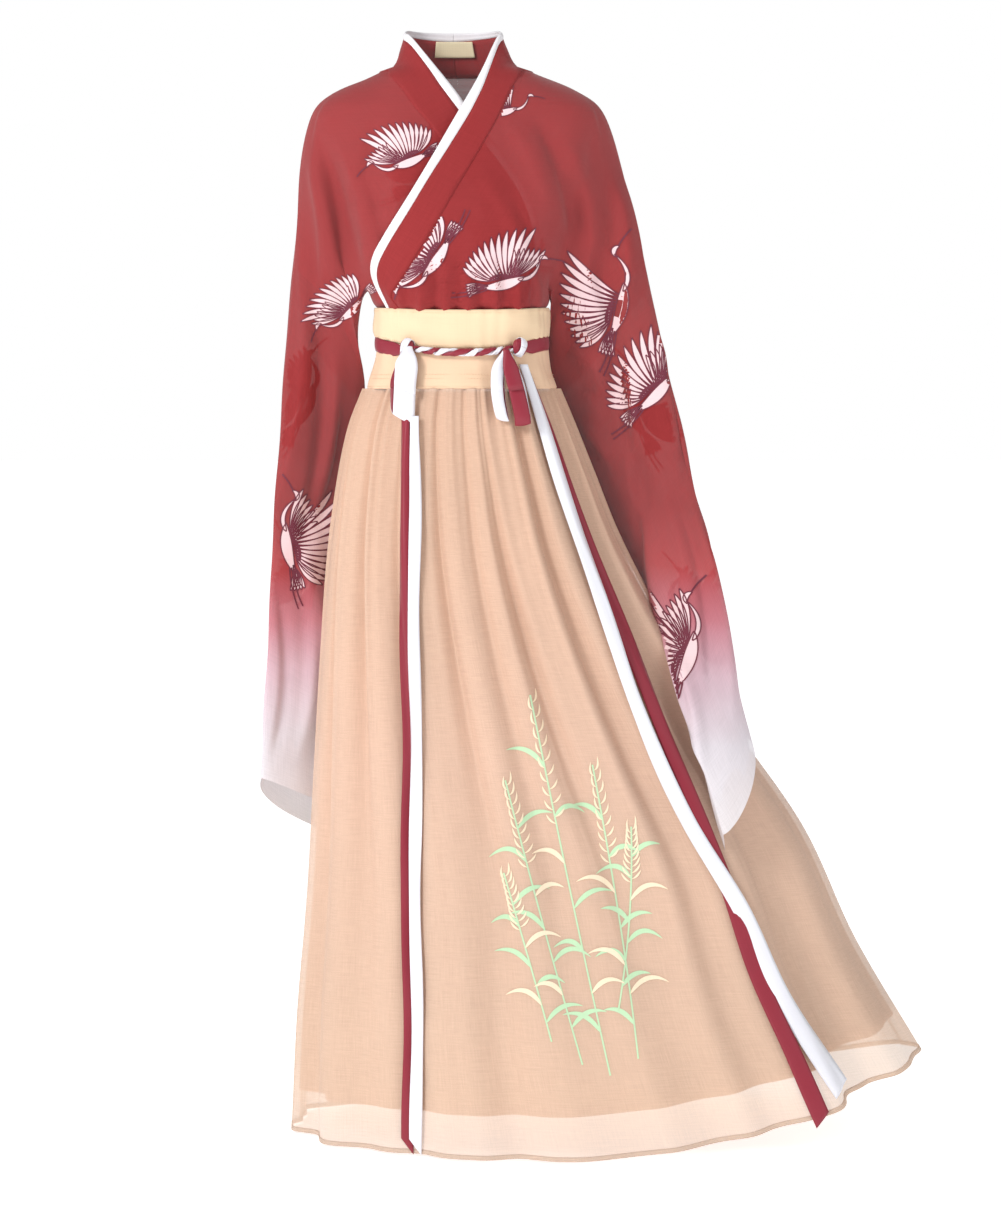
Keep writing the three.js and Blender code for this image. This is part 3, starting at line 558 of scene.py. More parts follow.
def point_normals(points, quads):
    out = np.zeros_like(points)
    normal = face_normals(points, quads)
    for i in range(4):
        np.add.at(out, quads[:, i], normal)
    return out / (np.linalg.norm(out, axis=1, keepdims=True) + 1e-9)


def relaxed(points, quads, weight, rounds):
    """Points eased toward the middle of their neighbours, each by its weight."""
    pairs = np.concatenate([quads[:, [i, (i + 1) % 4]] for i in range(4)])
    pairs = np.unique(np.sort(pairs, axis=1), axis=0)
    count = np.bincount(pairs.ravel(), minlength=len(points))[:, None]
    for _ in range(rounds):
        total = np.zeros_like(points)
        np.add.at(total, pairs[:, 0], points[pairs[:, 1]])
        np.add.at(total, pairs[:, 1], points[pairs[:, 0]])
        points = points + weight[:, None] * (total / np.maximum(count, 1) - points)
    return points


def rim_edges(quads):
    edges = np.concatenate([quads[:, [i, (i + 1) % 4]] for i in range(4)])
    known = set(map(tuple, edges.tolist()))
    return [(a, b) for a, b in edges.tolist() if (b, a) not in known]


def wall(points, quads, normals, thickness, stand=0.0):
    """A closed wall on one side of a surface: outer face, inner face and rims."""
    used = np.unique(quads)
    number = np.full(len(points), -1)
    number[used] = np.arange(len(used))
    outer = points[used] + normals[used] * stand
    inner = outer - normals[used] * thickness
    local = number[quads]
    count = len(used)
    rims = [(number[b], number[a], number[a] + count, number[b] + count) for a, b in rim_edges(quads)]
    faces = np.concatenate([local, local[:, ::-1] + count, np.array(rims)])
    return np.concatenate([outer, inner]), faces, used


def chiffon(name, slot, points, quads, flat, replaces=()):
    """A piece of sheer cloth, too thin to need a wall."""
    used = np.unique(quads)
    number = np.full(len(points), -1)
    number[used] = np.arange(len(used))
    return piece(name, slot, points[used], number[quads], flat[used], replaces)


def sewn(name, slot, points, quads, thickness, flat, replaces=(), stand=0.0, normals=None):
    """A piece of cloth as a wall on its surface."""
    normals = point_normals(points, quads) if normals is None else normals
    solid, faces, used = wall(points, quads, normals, thickness, stand)
    return piece(name, slot, solid, faces, np.concatenate([flat[used]] * 2), replaces)


def along_rows(stations, steps):
    """Rows between stations on a smooth curve through them, with steps between each pair."""
    stations = np.asarray(stations, float)
    length = np.linalg.norm(np.diff(stations, axis=0), axis=2).mean(1)
    at = np.concatenate([[0], np.cumsum(length)])
    slope = np.empty_like(stations)
    slope[1:-1] = (stations[2:] - stations[:-2]) / (at[2:] - at[:-2])[:, None, None]
    slope[0] = (stations[1] - stations[0]) / length[0]
    slope[-1] = (stations[-1] - stations[-2]) / length[-1]
    rows = [stations[0]]
    for i in range(len(stations) - 1):
        for n in range(1, steps[i] + 1):
            t = n / steps[i]
            blend = t * t * (3 - 2 * t)
            row = stations[i] + (stations[i + 1] - stations[i]) * blend
            row = row + length[i] * slope[i] * t * (1 - t) ** 2 + length[i] * slope[i + 1] * t * t * (t - 1)
            rows.append(row)
    return np.array(rows)


# ---------------------------------------------------------------- the jacket
FINE = 8
FRONT, ARM, BACK = 7 * FINE, 4 * FINE, 5 * FINE
RING = 20 * FINE
SHORT_SLEEVE_STEPS = [8, 8]
SLEEVE_STEP = 9
COLLAR_ACROSS = 12
COLLAR_FLAT_WIDTH = 46
EASE_REACH = 60
EASE_ROUNDS = 60
SLEEVE_PINCH = 0.3  # how sharply a hanging sleeve is folded at its two sides
BINDING_WIDTH = 11
COLLAR_EASE = 9
CUFF_FLAPS = {"left": (14, 16, -58), "right": (-4, 10, -26)}  # how much lower the back of a cuff hangs


def body_turns(seam_turn):
    front = seam_turn + (ARMHOLE_TURN - seam_turn) * np.arange(FRONT) / FRONT
    arm = ARMHOLE_TURN * (1 - 2 * np.arange(ARM) / ARM)
    back = -ARMHOLE_TURN - (0.25 - ARMHOLE_TURN) * np.arange(BACK + 1) / BACK
    return np.concatenate([front, arm, back])


def armhole_ring(index):
    """The armhole's edge as point numbers: from the shoulder down the front, up the back."""
    low, high = ARMHOLE_FIRST * FINE, ARMHOLE_LAST * FINE
    first, middle, last = FRONT, FRONT + ARM // 2, FRONT + ARM
    return np.concatenate([
        index[high, middle:first:-1], index[high:low:-1, first], index[low, first:last],
        index[low:high, last], index[high, last:middle:-1],
    ])


def sleeve_ring(section, side):
    outer, inner, hang = np.array(section[0], float), np.array(section[1], float), section[2]
    middle, reach = (outer + inner) / 2, (outer - inner) / 2
    level = np.array([reach[0], reach[1], 0])
    level /= np.linalg.norm(level)
    to_front = np.array([level[1], -level[0], 0]) * side * hang / 2
    angle = 2 * np.pi * np.arange(RING) / RING
    belly = np.sin(angle) * np.abs(np.sin(angle)) ** SLEEVE_PINCH
    return middle + np.outer(np.cos(angle), reach) + np.outer(belly, to_front)


def jacket_half(name, side):
    """One half of the jacket as one surface: body, sleeve and collar share the points of their seams."""
    collar = {column: curve(collars[name], "height", column) for column in ("seam", "edge", "edge_height")}
    heights = np.interp(np.arange(12 * FINE + 1) / FINE, np.arange(13), body_rows)
    seam_turns = front_turn(side, collar["seam"](heights), heights)
    turns = np.array([body_turns(turn) for turn in seam_turns])
    rows = layered(side, torso_point(side, turns, heights[:, None]))
    count = rows.shape[0] * rows.shape[1]
    body = np.arange(count).reshape(rows.shape[:2])
    points = [rows.reshape(-1, 3)]
    arc = np.cumsum(np.linalg.norm(np.diff(rows, axis=1, prepend=rows[:, :1]), axis=2), axis=1)
    flat = [np.stack([arc, np.broadcast_to(heights[:, None], arc.shape)], -1).reshape(-1, 2)]
    quads, label = [], []

    def join(index, names, closed=False, flip=False):
        faces = grid_faces(index, closed, flip)
        quads.append(faces)
        label.append(np.asarray(names).reshape(-1))

    cells = np.full((rows.shape[0] - 1, rows.shape[1] - 1), "body", dtype="U8")
    cells[ARMHOLE_FIRST * FINE : ARMHOLE_LAST * FINE, FRONT : FRONT + ARM] = "open"
    join(body, cells, flip=side < 0)

    armhole = armhole_ring(body)
    stations = [points[0][armhole]] + [sleeve_ring(section, side) for section in sleeves[name]]
    behind = np.maximum(0, -np.sin(2 * np.pi * np.arange(RING) / RING)) ** 0.7
    stations[-1] = stations[-1] + np.outer(behind, CUFF_FLAPS[name])
    gaps = [np.linalg.norm(b - a, axis=1).mean() for a, b in zip(stations, stations[1:])]
    steps = SHORT_SLEEVE_STEPS + [max(4, round(gap / SLEEVE_STEP)) for gap in gaps[2:]]
    rings = along_rows(stations, steps)[1:]
    ring_index = count + np.arange(rings.shape[0] * RING).reshape(-1, RING)
    points.append(rings.reshape(-1, 3))
    down = np.cumsum(np.linalg.norm(np.diff(rings, axis=0, prepend=rings[:1]), axis=2).mean(1))
    around = np.linalg.norm(np.roll(rings, -1, axis=1) - rings, axis=2).cumsum(1)
    flat.append(np.stack([around, np.broadcast_to(-down[:, None], around.shape)], -1).reshape(-1, 2))
    all_rings = np.vstack([armhole, ring_index])
    seam = sum(SHORT_SLEEVE_STEPS)
    names = np.full((len(all_rings) - 1, RING), "sleeve", dtype="U8")
    names[:seam] = "body"
    join(all_rings, names, closed=True, flip=side < 0)
    count += rings.shape[0] * RING

    # The collar grows from the front edge, round the neck to the middle of the back.
    neck = turns[-1][1:]
    share = np.arange(1, len(neck) + 1) / len(neck)
    edge_height = collar["edge_height"](heights)
    edge_turn = front_turn(side, collar["edge"](heights), edge_height)
    neck_edge_turn = edge_turn[-1] + (-0.25 - edge_turn[-1]) * share
    neck_edge_height = edge_height[-1] + (COLLAR_TOP - edge_height[-1]) * smooth(share * 2.2)
    start_turn = np.concatenate([seam_turns, neck])
    start_height = np.concatenate([heights, np.zeros(len(neck))])
    edge_turn = np.concatenate([edge_turn, neck_edge_turn])
    edge_height = np.concatenate([edge_height, neck_edge_height])
    reach = torso_point(side, edge_turn, edge_height) - torso_point(side, start_turn, start_height)
    bound = 1 - BINDING_WIDTH / np.linalg.norm(reach, axis=1)[:, None]
    across = np.concatenate([
        bound * np.linspace(0, 1, COLLAR_ACROSS - 3), bound + (1 - bound) * np.linspace(0, 1, 4)[1:]
    ], axis=1)[:, 1:]
    strip = torso_point(
        side,
        start_turn[:, None] + (edge_turn - start_turn)[:, None] * across,
        start_height[:, None] + (edge_height - start_height)[:, None] * across,
    )
    strip = layered(side, strip)
    eased = np.pad(strip, ((COLLAR_EASE, COLLAR_EASE), (0, 0), (0, 0)), mode="reflect", reflect_type="odd")
    for _ in range(3):
        middle = (eased[:-2] + eased[1:-1] + eased[2:]) / 3
        eased = np.concatenate([eased[:1], middle, eased[-1:]])
    window = 2 * COLLAR_EASE + 1
    eased = sum(eased[i : i + len(strip)] for i in range(window)) / window
    share = (across / across[:, -1:])[..., None]
    strip = strip + (eased - strip) * smooth(share * 1.6)
    strip_index = count + np.arange(strip.shape[0] * strip.shape[1]).reshape(strip.shape[:2])
    points.append(strip.reshape(-1, 3))
    run = np.cumsum(np.linalg.norm(np.diff(strip[:, -1], axis=0, prepend=strip[:1, -1]), axis=1))
    flat_across = np.linspace(0, COLLAR_FLAT_WIDTH, COLLAR_ACROSS)[1:][None, :]
    flat.append(np.stack(np.broadcast_arrays(flat_across, run[:, None]), -1).reshape(-1, 2))
    start = np.concatenate([body[:, 0], body[-1, 1:]])
    collar_index = np.concatenate([start[:, None], strip_index], axis=1)
    names = np.full((len(start) - 1, COLLAR_ACROSS - 1), "band", dtype="U8")
    names[:, COLLAR_ACROSS - 4 :] = "binding"
    join(collar_index, names, flip=side > 0)

    points, flat = np.concatenate(points), np.concatenate(flat)
    quads, label = np.concatenate(quads), np.concatenate(label)
    quads, label = quads[label != "open"], label[label != "open"]

    # Ease the turn from body to sleeve, then lay in the creases along the normals.
    gap = np.full(len(points), 1e9)
    for place in points[armhole[::4]]:
        gap = np.minimum(gap, np.linalg.norm(points - place, axis=1))
    collar_points = np.unique(quads[np.isin(label, ["band", "binding"])])
    weight = 0.5 * (1 - smooth(gap / EASE_REACH))
    weight[collar_points] = 0
    points = relaxed(points, quads, weight, EASE_ROUNDS)
    normals = point_normals(points, quads)
    facing_front, facing_back = smooth(-normals[:, 1] * 1.6), smooth(normals[:, 1] * 1.6)
    lift = facing_front * creased(points[:, 0], points[:, 2], front_creases)
    lift += facing_back * creased(points[:, 0], points[:, 2], back_creases)
    lift += rippled(points, 26, 0.9) + rippled(points[:, [2, 1, 0]], 61, 1.3)
    stiff = np.ones(len(points))
    stiff[collar_points] = 0.15
    stiff[body[:, :5]] = np.linspace(0.15, 0.8, 5)
    tucked = smooth((points[:, 2] + 350) / 70) * 0.7 + 0.3
    tucked = np.where(points[:, 2] < -284, tucked, 1)
    in_sleeve = np.arange(len(points)) >= body.size
    lift *= stiff * np.where(in_sleeve, 1, tucked)
    points = points + normals * lift[:, None]
    return points, quads, label, flat


def bound_edge(points, normals, flat):
    """The binding folded round the collar's edge: proud in its middle, thin at its sides."""
    start = (COLLAR_ACROSS - 4) / (COLLAR_ACROSS - 1)
    across = (flat[:, 0] / COLLAR_FLAT_WIDTH - start) / (1 - start)
    return points + normals * (1.0 + 1.1 * np.sin(np.pi * np.clip(across, 0, 1)))[:, None]


jacket_grounds = []
for side_name, side in (("left", 1), ("right", -1)):
    points, quads, label, flat = jacket_half(side_name, side)
    normals = point_normals(points, quads)
    jacket_grounds.append((points, quads, label))
    for part, node, slot, thickness, stand in (
        ("body", "body", "jacket_chiffon", 0, 0),
        ("sleeve", "sleeve", "sleeve_chiffon", 0, 0),
        ("band", "collar_band", "jacket_chiffon", 1.4, 0.7),
        ("binding", "collar_binding", "binding_white", 1.8, 0),
    ):
        base = bound_edge(points, normals, flat) if part == "binding" else points
        node = f"{node}_{side_name}"
        if part in ("body", "sleeve"):
            chiffon(node + "_cloth", slot, base, quads[label == part], flat, [node])
        else:
            sewn(node + "_cloth", slot, base, quads[label == part], thickness, flat, [node], stand, normals)


# ---------------------------------------------------------------- the skirt
SKIRT_COLUMNS, SKIRT_ROWS = 640, 110
LINING_COLUMNS, LINING_ROWS = 440, 80
SKIRT_ROUND = 2500


def skirt_grid(columns, shares, inset):
    turns = np.arange(columns) / columns
    rows = skirt_point(turns[None, :], np.asarray(shares)[:, None], inset)
    flat = np.stack(np.broadcast_arrays(turns[None, :] * SKIRT_ROUND, rows[..., 2]), -1)
    index = np.arange(rows.shape[0] * columns).reshape(-1, columns)
    return rows.reshape(-1, 3), grid_faces(index[::-1], closed=True), flat.reshape(-1, 2)


skirt_shares = np.linspace(0, 1, SKIRT_ROWS + 1) ** 0.9
skirt_cloth = skirt_grid(SKIRT_COLUMNS, skirt_shares, 0)
chiffon("skirt_outer_cloth", "skirt_chiffon", *skirt_cloth, ["skirt_outer"])
lining = skirt_grid(LINING_COLUMNS, np.linspace(0.004, LINING_SHARE, LINING_ROWS), LINING_INSET)
chiffon("skirt_lining_cloth", "skirt_lining", *lining, ["skirt_lining"])
hem = skirt_grid(SKIRT_COLUMNS, np.linspace(0.994, 1, 4), 0)
sewn("skirt_hem", "skirt_chiffon", hem[0], hem[1], 1.6, hem[2], stand=0.5)


# ---------------------------------------------------------------- the waistbands
BAND_COLUMNS = 320
WAIST_TOP = -300
bands = {
    "waistband_upper": table("height half depth", (-300, 109, 91), (-320, 110, 92), (BAND_JOIN, 107, 90)),
    "waistband_lower": table("height half depth", (BAND_JOIN, 107, 90), (-370, 111, 92), (BAND_FOOT, 119, 94)),
}
band_sections = bands["waistband_upper"] + bands["waistband_lower"][1:]
band_at = {name: curve(band_sections, "height", name) for name in ("half", "depth")}


def band_point(turn, height, lift=0.0):
    turn, height = np.broadcast_arrays(np.asarray(turn, float), np.asarray(height, float))
    angle = 2 * np.pi * turn
    across = signed_power(-np.cos(angle), TORSO_ROUNDNESS) * (band_at["half"](height) + lift)
    out = signed_power(np.sin(angle), TORSO_ROUNDNESS) * (band_at["depth"](height) + lift)
    return np.stack([BAND_MIDDLE + across, -out, height], -1)


def band_join(turn):
    """The upper band dips at the middle of the front and the back."""
    return BAND_JOIN - 5 + 14 * np.cos(2 * np.pi * turn) ** 2


def band_top(turn):
    return WAIST_TOP + 4 * np.cos(2 * np.pi * turn) ** 2


def band_foot(turn):
    return np.full_like(turn, BAND_FOOT - 1.2)


EVEN_AT = -340
BAND_THICKNESS = 2.0


def even_turns(count):
    """Turns round the band at even distances, since its squarish section crowds them."""
    turns = np.linspace(0, 1, 4001)
    steps = np.diff(band_point(turns, EVEN_AT), axis=0, prepend=band_point([0], EVEN_AT))
    length = np.cumsum(np.linalg.norm(steps, axis=1))
    return np.interp(np.arange(count) / count * length[-1], length, turns)


def band_cloth(name, slot, top, foot, rows, proud):
    turns = even_turns(BAND_COLUMNS)
    share = np.linspace(0, 1, rows)[:, None]
    heights = top(turns)[None, :] + (foot(turns) - top(turns))[None, :] * share
    edge = np.minimum(top(turns)[None, :] - heights, heights - foot(turns)[None, :])
    pucker = 0.55 * np.sin(turns * 2 * np.pi * 31 + 2 * np.sin(turns * 2 * np.pi * 7))[None, :]
    soft = 0.8 * np.sin(turns * 2 * np.pi * 5 + heights / 9) + 0.5 * np.sin(turns * 2 * np.pi * 13)
    lift = proud + 1.0 * smooth(edge / 3) + soft * smooth(edge / 10) + pucker * (1 - 0.5 * smooth(edge / 12))
    grid = band_point(turns[None, :], heights, lift)
    flat = np.stack(np.broadcast_arrays(np.linspace(0, 660, BAND_COLUMNS)[None, :], heights), -1)
    index = np.arange(grid.shape[0] * BAND_COLUMNS).reshape(-1, BAND_COLUMNS)
    quads = grid_faces(index[::-1], closed=True)
    sewn(name + "_cloth", slot, grid.reshape(-1, 3), quads, BAND_THICKNESS, flat.reshape(-1, 2), [name])


band_cloth("waistband_upper", "band_cream", band_top, band_join, 26, 1.4)
band_cloth("waistband_lower", "band_peach", band_join, band_foot, 32, 0.4)


def stitches(name, slot, route, out, spacing, length, thick=0.35):
    """A row of running stitches along a route, each a small spindle lying on the cloth."""
    route, out = np.asarray(route, float), np.asarray(out, float)
    run = np.concatenate([[0], np.cumsum(np.linalg.norm(np.diff(route, axis=0), axis=1))])
    starts = np.arange(spacing / 2, run[-1] - length, spacing)
    at = lambda values, s: np.stack([np.interp(s, run, values[:, i]) for i in range(3)], -1)
    head, tail, up = at(route, starts), at(route, starts + length), at(out, starts)
    up /= np.linalg.norm(up, axis=1, keepdims=True)
    side = np.cross(tail - head, up)
    side /= np.linalg.norm(side, axis=1, keepdims=True) + 1e-9
    middle = (head + tail) / 2
    corners = np.stack([head, middle + side * thick, middle + up * thick * 1.4, middle - side * thick,
                        middle - up * thick, tail], 1)
    spindle = np.array([(0, 1, 2), (0, 2, 3), (0, 3, 4), (0, 4, 1), (5, 2, 1), (5, 3, 2), (5, 4, 3), (5, 1, 4)])
    faces = (spindle[None] + 6 * np.arange(len(starts))[:, None, None]).reshape(-1, 3)
    flat = corners.reshape(-1, 3)[:, [0, 2]]
    return piece(name, slot, corners.reshape(-1, 3), faces, flat)


def band_stitches(name, slot, height, lift):
    turns = np.linspace(0, 1, 400)
    route = band_point(turns, height(turns), lift)
    out = (route - [BAND_MIDDLE, 0, 0]) * [1, 1, 0]
    stitches(name, slot, route, out, 3.6, 2.4)


band_stitches("stitches_band_top", "band_cream", lambda turn: band_top(turn) - 4, 2.8)
band_stitches("stitches_band_edge", "band_cream", lambda turn: band_join(turn) + 3, 2.8)
band_stitches("stitches_band_middle", "band_peach", lambda turn: band_foot(turn) + 18, 2.0)
band_stitches("stitches_band_low", "band_peach", lambda turn: band_foot(turn) + 13, 2.0)
band_stitches("stitches_band_foot", "band_peach", lambda turn: band_foot(turn) + 3, 1.9)


# ---------------------------------------------------------------- ribbons
RIBBON = 0.6


def strip(name, slot, middle, across, out, width, replaces=(), curl=0.0, rows=7, thickness=RIBBON, stand=0.0):
    """A ribbon along a middle line. across and out give its lie; width may change along it."""
    middle, across, out = (np.asarray(a, float) for a in (middle, across, out))
    share = np.linspace(-0.5, 0.5, rows)
    width = np.broadcast_to(width, len(middle))
    bow = curl * (1 - (2 * share) ** 2)
    grid = middle[:, None] + across[:, None] * (share[None, :] * width[:, None])[..., None]
    grid = grid + out[:, None] * bow[None, :, None]
    run = np.concatenate([[0], np.cumsum(np.linalg.norm(np.diff(middle, axis=0), axis=1))])
    flat = np.stack(np.broadcast_arrays(share[None, :] * RIBBON_WIDTH, run[:, None]), -1).reshape(-1, 2)
    index = np.arange(grid.shape[0] * rows).reshape(-1, rows)
    points, quads = grid.reshape(-1, 3), grid_faces(index)
    facing = (face_normals(points, quads) * np.repeat(out[:-1], rows - 1, axis=0)).sum(1)
    if facing.mean() < 0:
        quads = quads[:, ::-1]
    return sewn(name, slot, points, quads, thickness, flat, replaces, stand)


def unit(vectors):
    return vectors / (np.linalg.norm(vectors, axis=-1, keepdims=True) + 1e-9)


KNOT_TURN = {"right": 0.165, "left": 0.345}
KNOT_CLEAR = 0.018


def tie_height(turn):
    return band_join(turn) - 3

tie_start = KNOT_TURN["left"] + KNOT_CLEAR * 0.4
tie_turns = np.linspace(tie_start, 1 + KNOT_TURN["right"] - KNOT_CLEAR * 0.4, 260)
tie_share = np.linspace(0, 1, 260)
near_knot = smooth(np.minimum(tie_share, 1 - tie_share) / 0.05)
tie_level = tie_height(tie_turns) - 4 + 1.5 * np.sin(tie_share * 19) + 3 * (1 - near_knot) * (tie_share < 0.5)
tie_middle = band_point(tie_turns % 1, tie_level, 3.0 + 2 * (1 - near_knot))
tie_out = unit((tie_middle - [BAND_MIDDLE, 0, 0]) * [1, 1, 0])
tie_across = np.tile([0.0, 0.0, 1.0], (260, 1))
strip("tie_wrap_ribbon", "ribbon_red", tie_middle, tie_across, tie_out, 10 + 8 * near_knot, ["tie_wrap"], curl=1.2)


def strand(name, slot, phase, replaces=()):
    """One strand of the twisted tie, wound with its neighbour between the two knots."""
    steps, sides, twists = 150, 12, 4.5
    share = np.linspace(0, 1, steps)
    turns = KNOT_TURN["right"] + (KNOT_TURN["left"] - KNOT_TURN["right"]) * (0.06 + 0.88 * share)
    sag = 2.2 * np.sin(np.pi * share)
    core = band_point(turns, tie_height(turns) - sag, 6.5)
    out = unit((core - [BAND_MIDDLE, 0, 0]) * [1, 1, 0])
    out[:, 2] = 0
    angle = phase + 2 * np.pi * twists * share + 0.5 * np.sin(share * 23)
    up = np.array([0, 0, 1.0])
    radial = np.cos(angle)[:, None] * out + np.sin(angle)[:, None] * up
    along = unit(np.gradient(core, axis=0))
    tangent = np.cross(along, radial)
    girth = np.sin(np.pi * np.clip(share, 0.015, 0.985)) ** 0.18
    theta = 2 * np.pi * np.arange(sides) / sides
    ripple = 1 + 0.12 * np.sin(3 * theta[None, :] + share[:, None] * 40)
    wide, deep = 4.0 * girth[:, None] * ripple, 2.5 * girth[:, None] * ripple
    points = (core + radial * 2.3)[:, None] + radial[:, None] * (np.cos(theta) * deep)[..., None]
    points = points + tangent[:, None] * (np.sin(theta) * wide)[..., None]
    index = np.arange(steps * sides).reshape(steps, sides)
    quads = grid_faces(index, closed=True)
    caps = [index[0][::-1].tolist(), index[-1].tolist()]
    flat = np.stack(np.broadcast_arrays(theta[None, :] * 4, share[:, None] * 110), -1).reshape(-1, 2)
    faces = quads.tolist() + caps
    mesh_piece = piece_any(name, slot, points.reshape(-1, 3), faces, flat, replaces)
    return mesh_piece


def piece_any(name, slot, points, faces, flat, replaces=()):
    """A piece whose faces may have any number of sides, turned to face out."""
    made = piece_from_lists(name, slot, points, faces, flat)
    if replaces:
        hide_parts(*replaces)
    return made


def piece_from_lists(name, slot, points, faces, flat):
    triangles = []
    for face in faces:
        triangles += [(face[0], face[i], face[i + 1]) for i in range(1, len(face) - 1)]
    triangles = np.array(triangles)
    a, b, c = (points[triangles[:, i]] for i in range(3))
    volume = (np.cross(a, b) * c).sum()
    if volume < 0:
        triangles = triangles[:, ::-1]
    return piece(name, slot, points, triangles, flat)


strand("tie_twist_red", "ribbon_red", 0.0, ["tie_twist"])
strand("tie_twist_white", "ribbon_white", np.pi)


WRAP_DEPTH, WRAP_HEIGHT = 8.0, 11.6


def knot(side_name, slot, wrap_slot):
    """A tied knot: gathered ribbon with one turn wrapped over it."""
    turn = np.array([KNOT_TURN[side_name]])
    centre = band_point(turn, tie_height(turn), 8.5)[0]
    out = unit((centre - [BAND_MIDDLE, 0, centre[2]]) * [1, 1, 0])
    along = np.array([-out[1], out[0], 0])
    up = np.array([0, 0, 1.0])
    rings, sides = 22, 40
    v = np.linspace(-np.pi / 2, np.pi / 2, rings + 2)[1:-1]
    u = 2 * np.pi * np.arange(sides) / sides
    gather = 1 + 0.07 * np.cos(7 * u[None, :] + 2.2 * v[:, None]) + 0.05 * np.cos(3 * u[None, :] - 1.4)
    reach = np.cos(v)[:, None] ** 0.6 * gather
    points = centre + out * (np.cos(u)[None, :] * reach * 6.8)[..., None]
    points = points + along * (np.sin(u)[None, :] * reach * 9.2)[..., None]
    points = points + up * (np.broadcast_to(np.sin(v)[:, None] * 10.5, reach.shape))[..., None]
    index = np.arange(rings * sides).reshape(rings, sides)
    faces = grid_faces(index, closed=True).tolist() + [index[0][::-1].tolist(), index[-1].tolist()]
    flat = np.stack(np.broadcast_arrays(u[None, :] * 8, v[:, None] * 10), -1).reshape(-1, 2)
    piece_any(f"knot_{side_name}_gather", slot, points.reshape(-1, 3), faces, flat, [f"knot_{side_name}"])
    turn = np.linspace(0, 2 * np.pi, 49)
    tilt = 0.35
    upward = along * math.sin(tilt) + up * math.cos(tilt)
    middle = centre + np.outer(np.cos(turn), out) * WRAP_DEPTH + np.outer(np.sin(turn), upward) * WRAP_HEIGHT
    radial = unit(middle - centre)
    across = unit(np.cross(radial, np.gradient(middle, axis=0)))
    strip(f"knot_{side_name}_wrap", wrap_slot, middle, across, radial, 9.5 + 1.2 * np.sin(turn * 3), curl=0.9)


knot("right", "ribbon_red", "ribbon_white")
knot("left", "ribbon_red", "ribbon_white")


def smooth_route(route, steps):
    return along_rows(np.asarray(route, float)[:, None, :], [steps] * (len(route) - 1))[:, 0]


def front_depth(x, height):
    """How far forward the band or the skirt's outline stands at a place on the front."""
    share = np.clip((SKIRT_TOP - height) / (SKIRT_TOP - HEM), 0, 1)
    left, right, depth = (skirt_at[name](share) for name in ("left", "right", "depth"))
    along = np.clip(np.abs(x - (left + right) / 2) / ((right - left) / 2), 0, 0.97)
    power = 2 / np.where(height > SKIRT_TOP, TORSO_ROUNDNESS, 1)
    return depth * (1 - along**power) ** (1 / power)


# Sections of each loop's middle: x, stand off the band, height; the outer face's finish comes first.
loops = {
    "loop_right": (15, ("ribbon_white", "ribbon_red"), [
        (-62, 12, -346), (-61, 19, -358), (-63, 22, -374), (-65, 24, -400), (-66, 21, -424),
        (-67, 16, -436), (-70, 11, -428), (-70, 10, -400), (-68, 10, -375), (-64, 11, -352),
    ]),
    "loop_left_red": (10, ("ribbon_red", "ribbon_white"), [
        (61, 13, -350), (64, 19, -362), (68, 23, -378), (75, 27, -404), (81, 25, -432),
        (82, 19, -443), (82, 14, -434), (77, 12, -404), (71, 12, -376), (64, 12, -354),
    ]),
    "loop_left_white": (8, ("ribbon_white", "ribbon_red"), [
        (60, 11, -351), (53, 14, -364), (50, 17, -380), (50, 19, -404), (54, 18, -428),
        (57, 13, -437), (56, 9, -430), (52, 7, -404), (53, 8, -375), (61, 9, -355),
    ]),
}
LOOP_SLANT = {"loop_right": -0.5, "loop_left_red": 0.14, "loop_left_white": -0.2}
for name, (half, slots, route) in loops.items():
    fine = smooth_route(route, 10)
    depth = front_depth(fine[:, 0], fine[:, 2])
    middle = np.stack([fine[:, 0], -depth - fine[:, 1], fine[:, 2]], -1)
    share = np.linspace(0, 1, len(fine))
    wide = 2 * half * (0.42 + 0.58 * smooth(np.minimum(share, 1 - share) / 0.22))
    across = np.tile([1.0, 0.0, 0.0], (len(fine), 1))
    across[:, 1] = 0.25 * np.sin(share * 2 * np.pi)
    across[:, 2] = LOOP_SLANT[name] * smooth(share * 3) * smooth((1 - share) * 3)
    across = unit(across)
    forward = unit(np.gradient(middle, axis=0))
    out = unit(np.cross(forward, across))
    if out[len(out) // 5][1] > 0:
        out = -out
    strip(name + "_face", slots[0], middle, across, out, wide, [name], curl=1.6, rows=9)
    strip(name + "_reverse", slots[1], middle - out * RIBBON, across, out, wide * 0.985, curl=1.6, rows=9)


# ---------------------------------------------------------------- the hanging tails
skirt_tree = BVHTree.FromPolygons(skirt_cloth[0].tolist(), skirt_cloth[1].tolist())
TAIL_STEPS = 240
TAIL_POINT = 20
tails = {
    "tail_right_white": ("ribbon_white", -432, -1336, 5.0, table("height across", (-440, -53), (-1340, -50))),
    "tail_right_red": ("ribbon_red", -430, -1336, 3.0, table("height across", (-436, -64), (-1340, -60))),
    "tail_left_white": ("ribbon_white", -368, -1266, 5.6, table(
        "height across", (-366, 82), (-462, 114), (-606, 160), (-703, 192), (-788, 223), (-934, 287),
        (-1047, 354), (-1159, 410), (-1270, 480))),
    "tail_left_red": ("ribbon_red", -374, -1300, 3.0, table(
        "height across", (-372, 84), (-469, 120), (-544, 147), (-664, 192), (-784, 241), (-926, 300),
        (-1007, 331), (-1115, 369), (-1215, 416), (-1300, 452))),
}


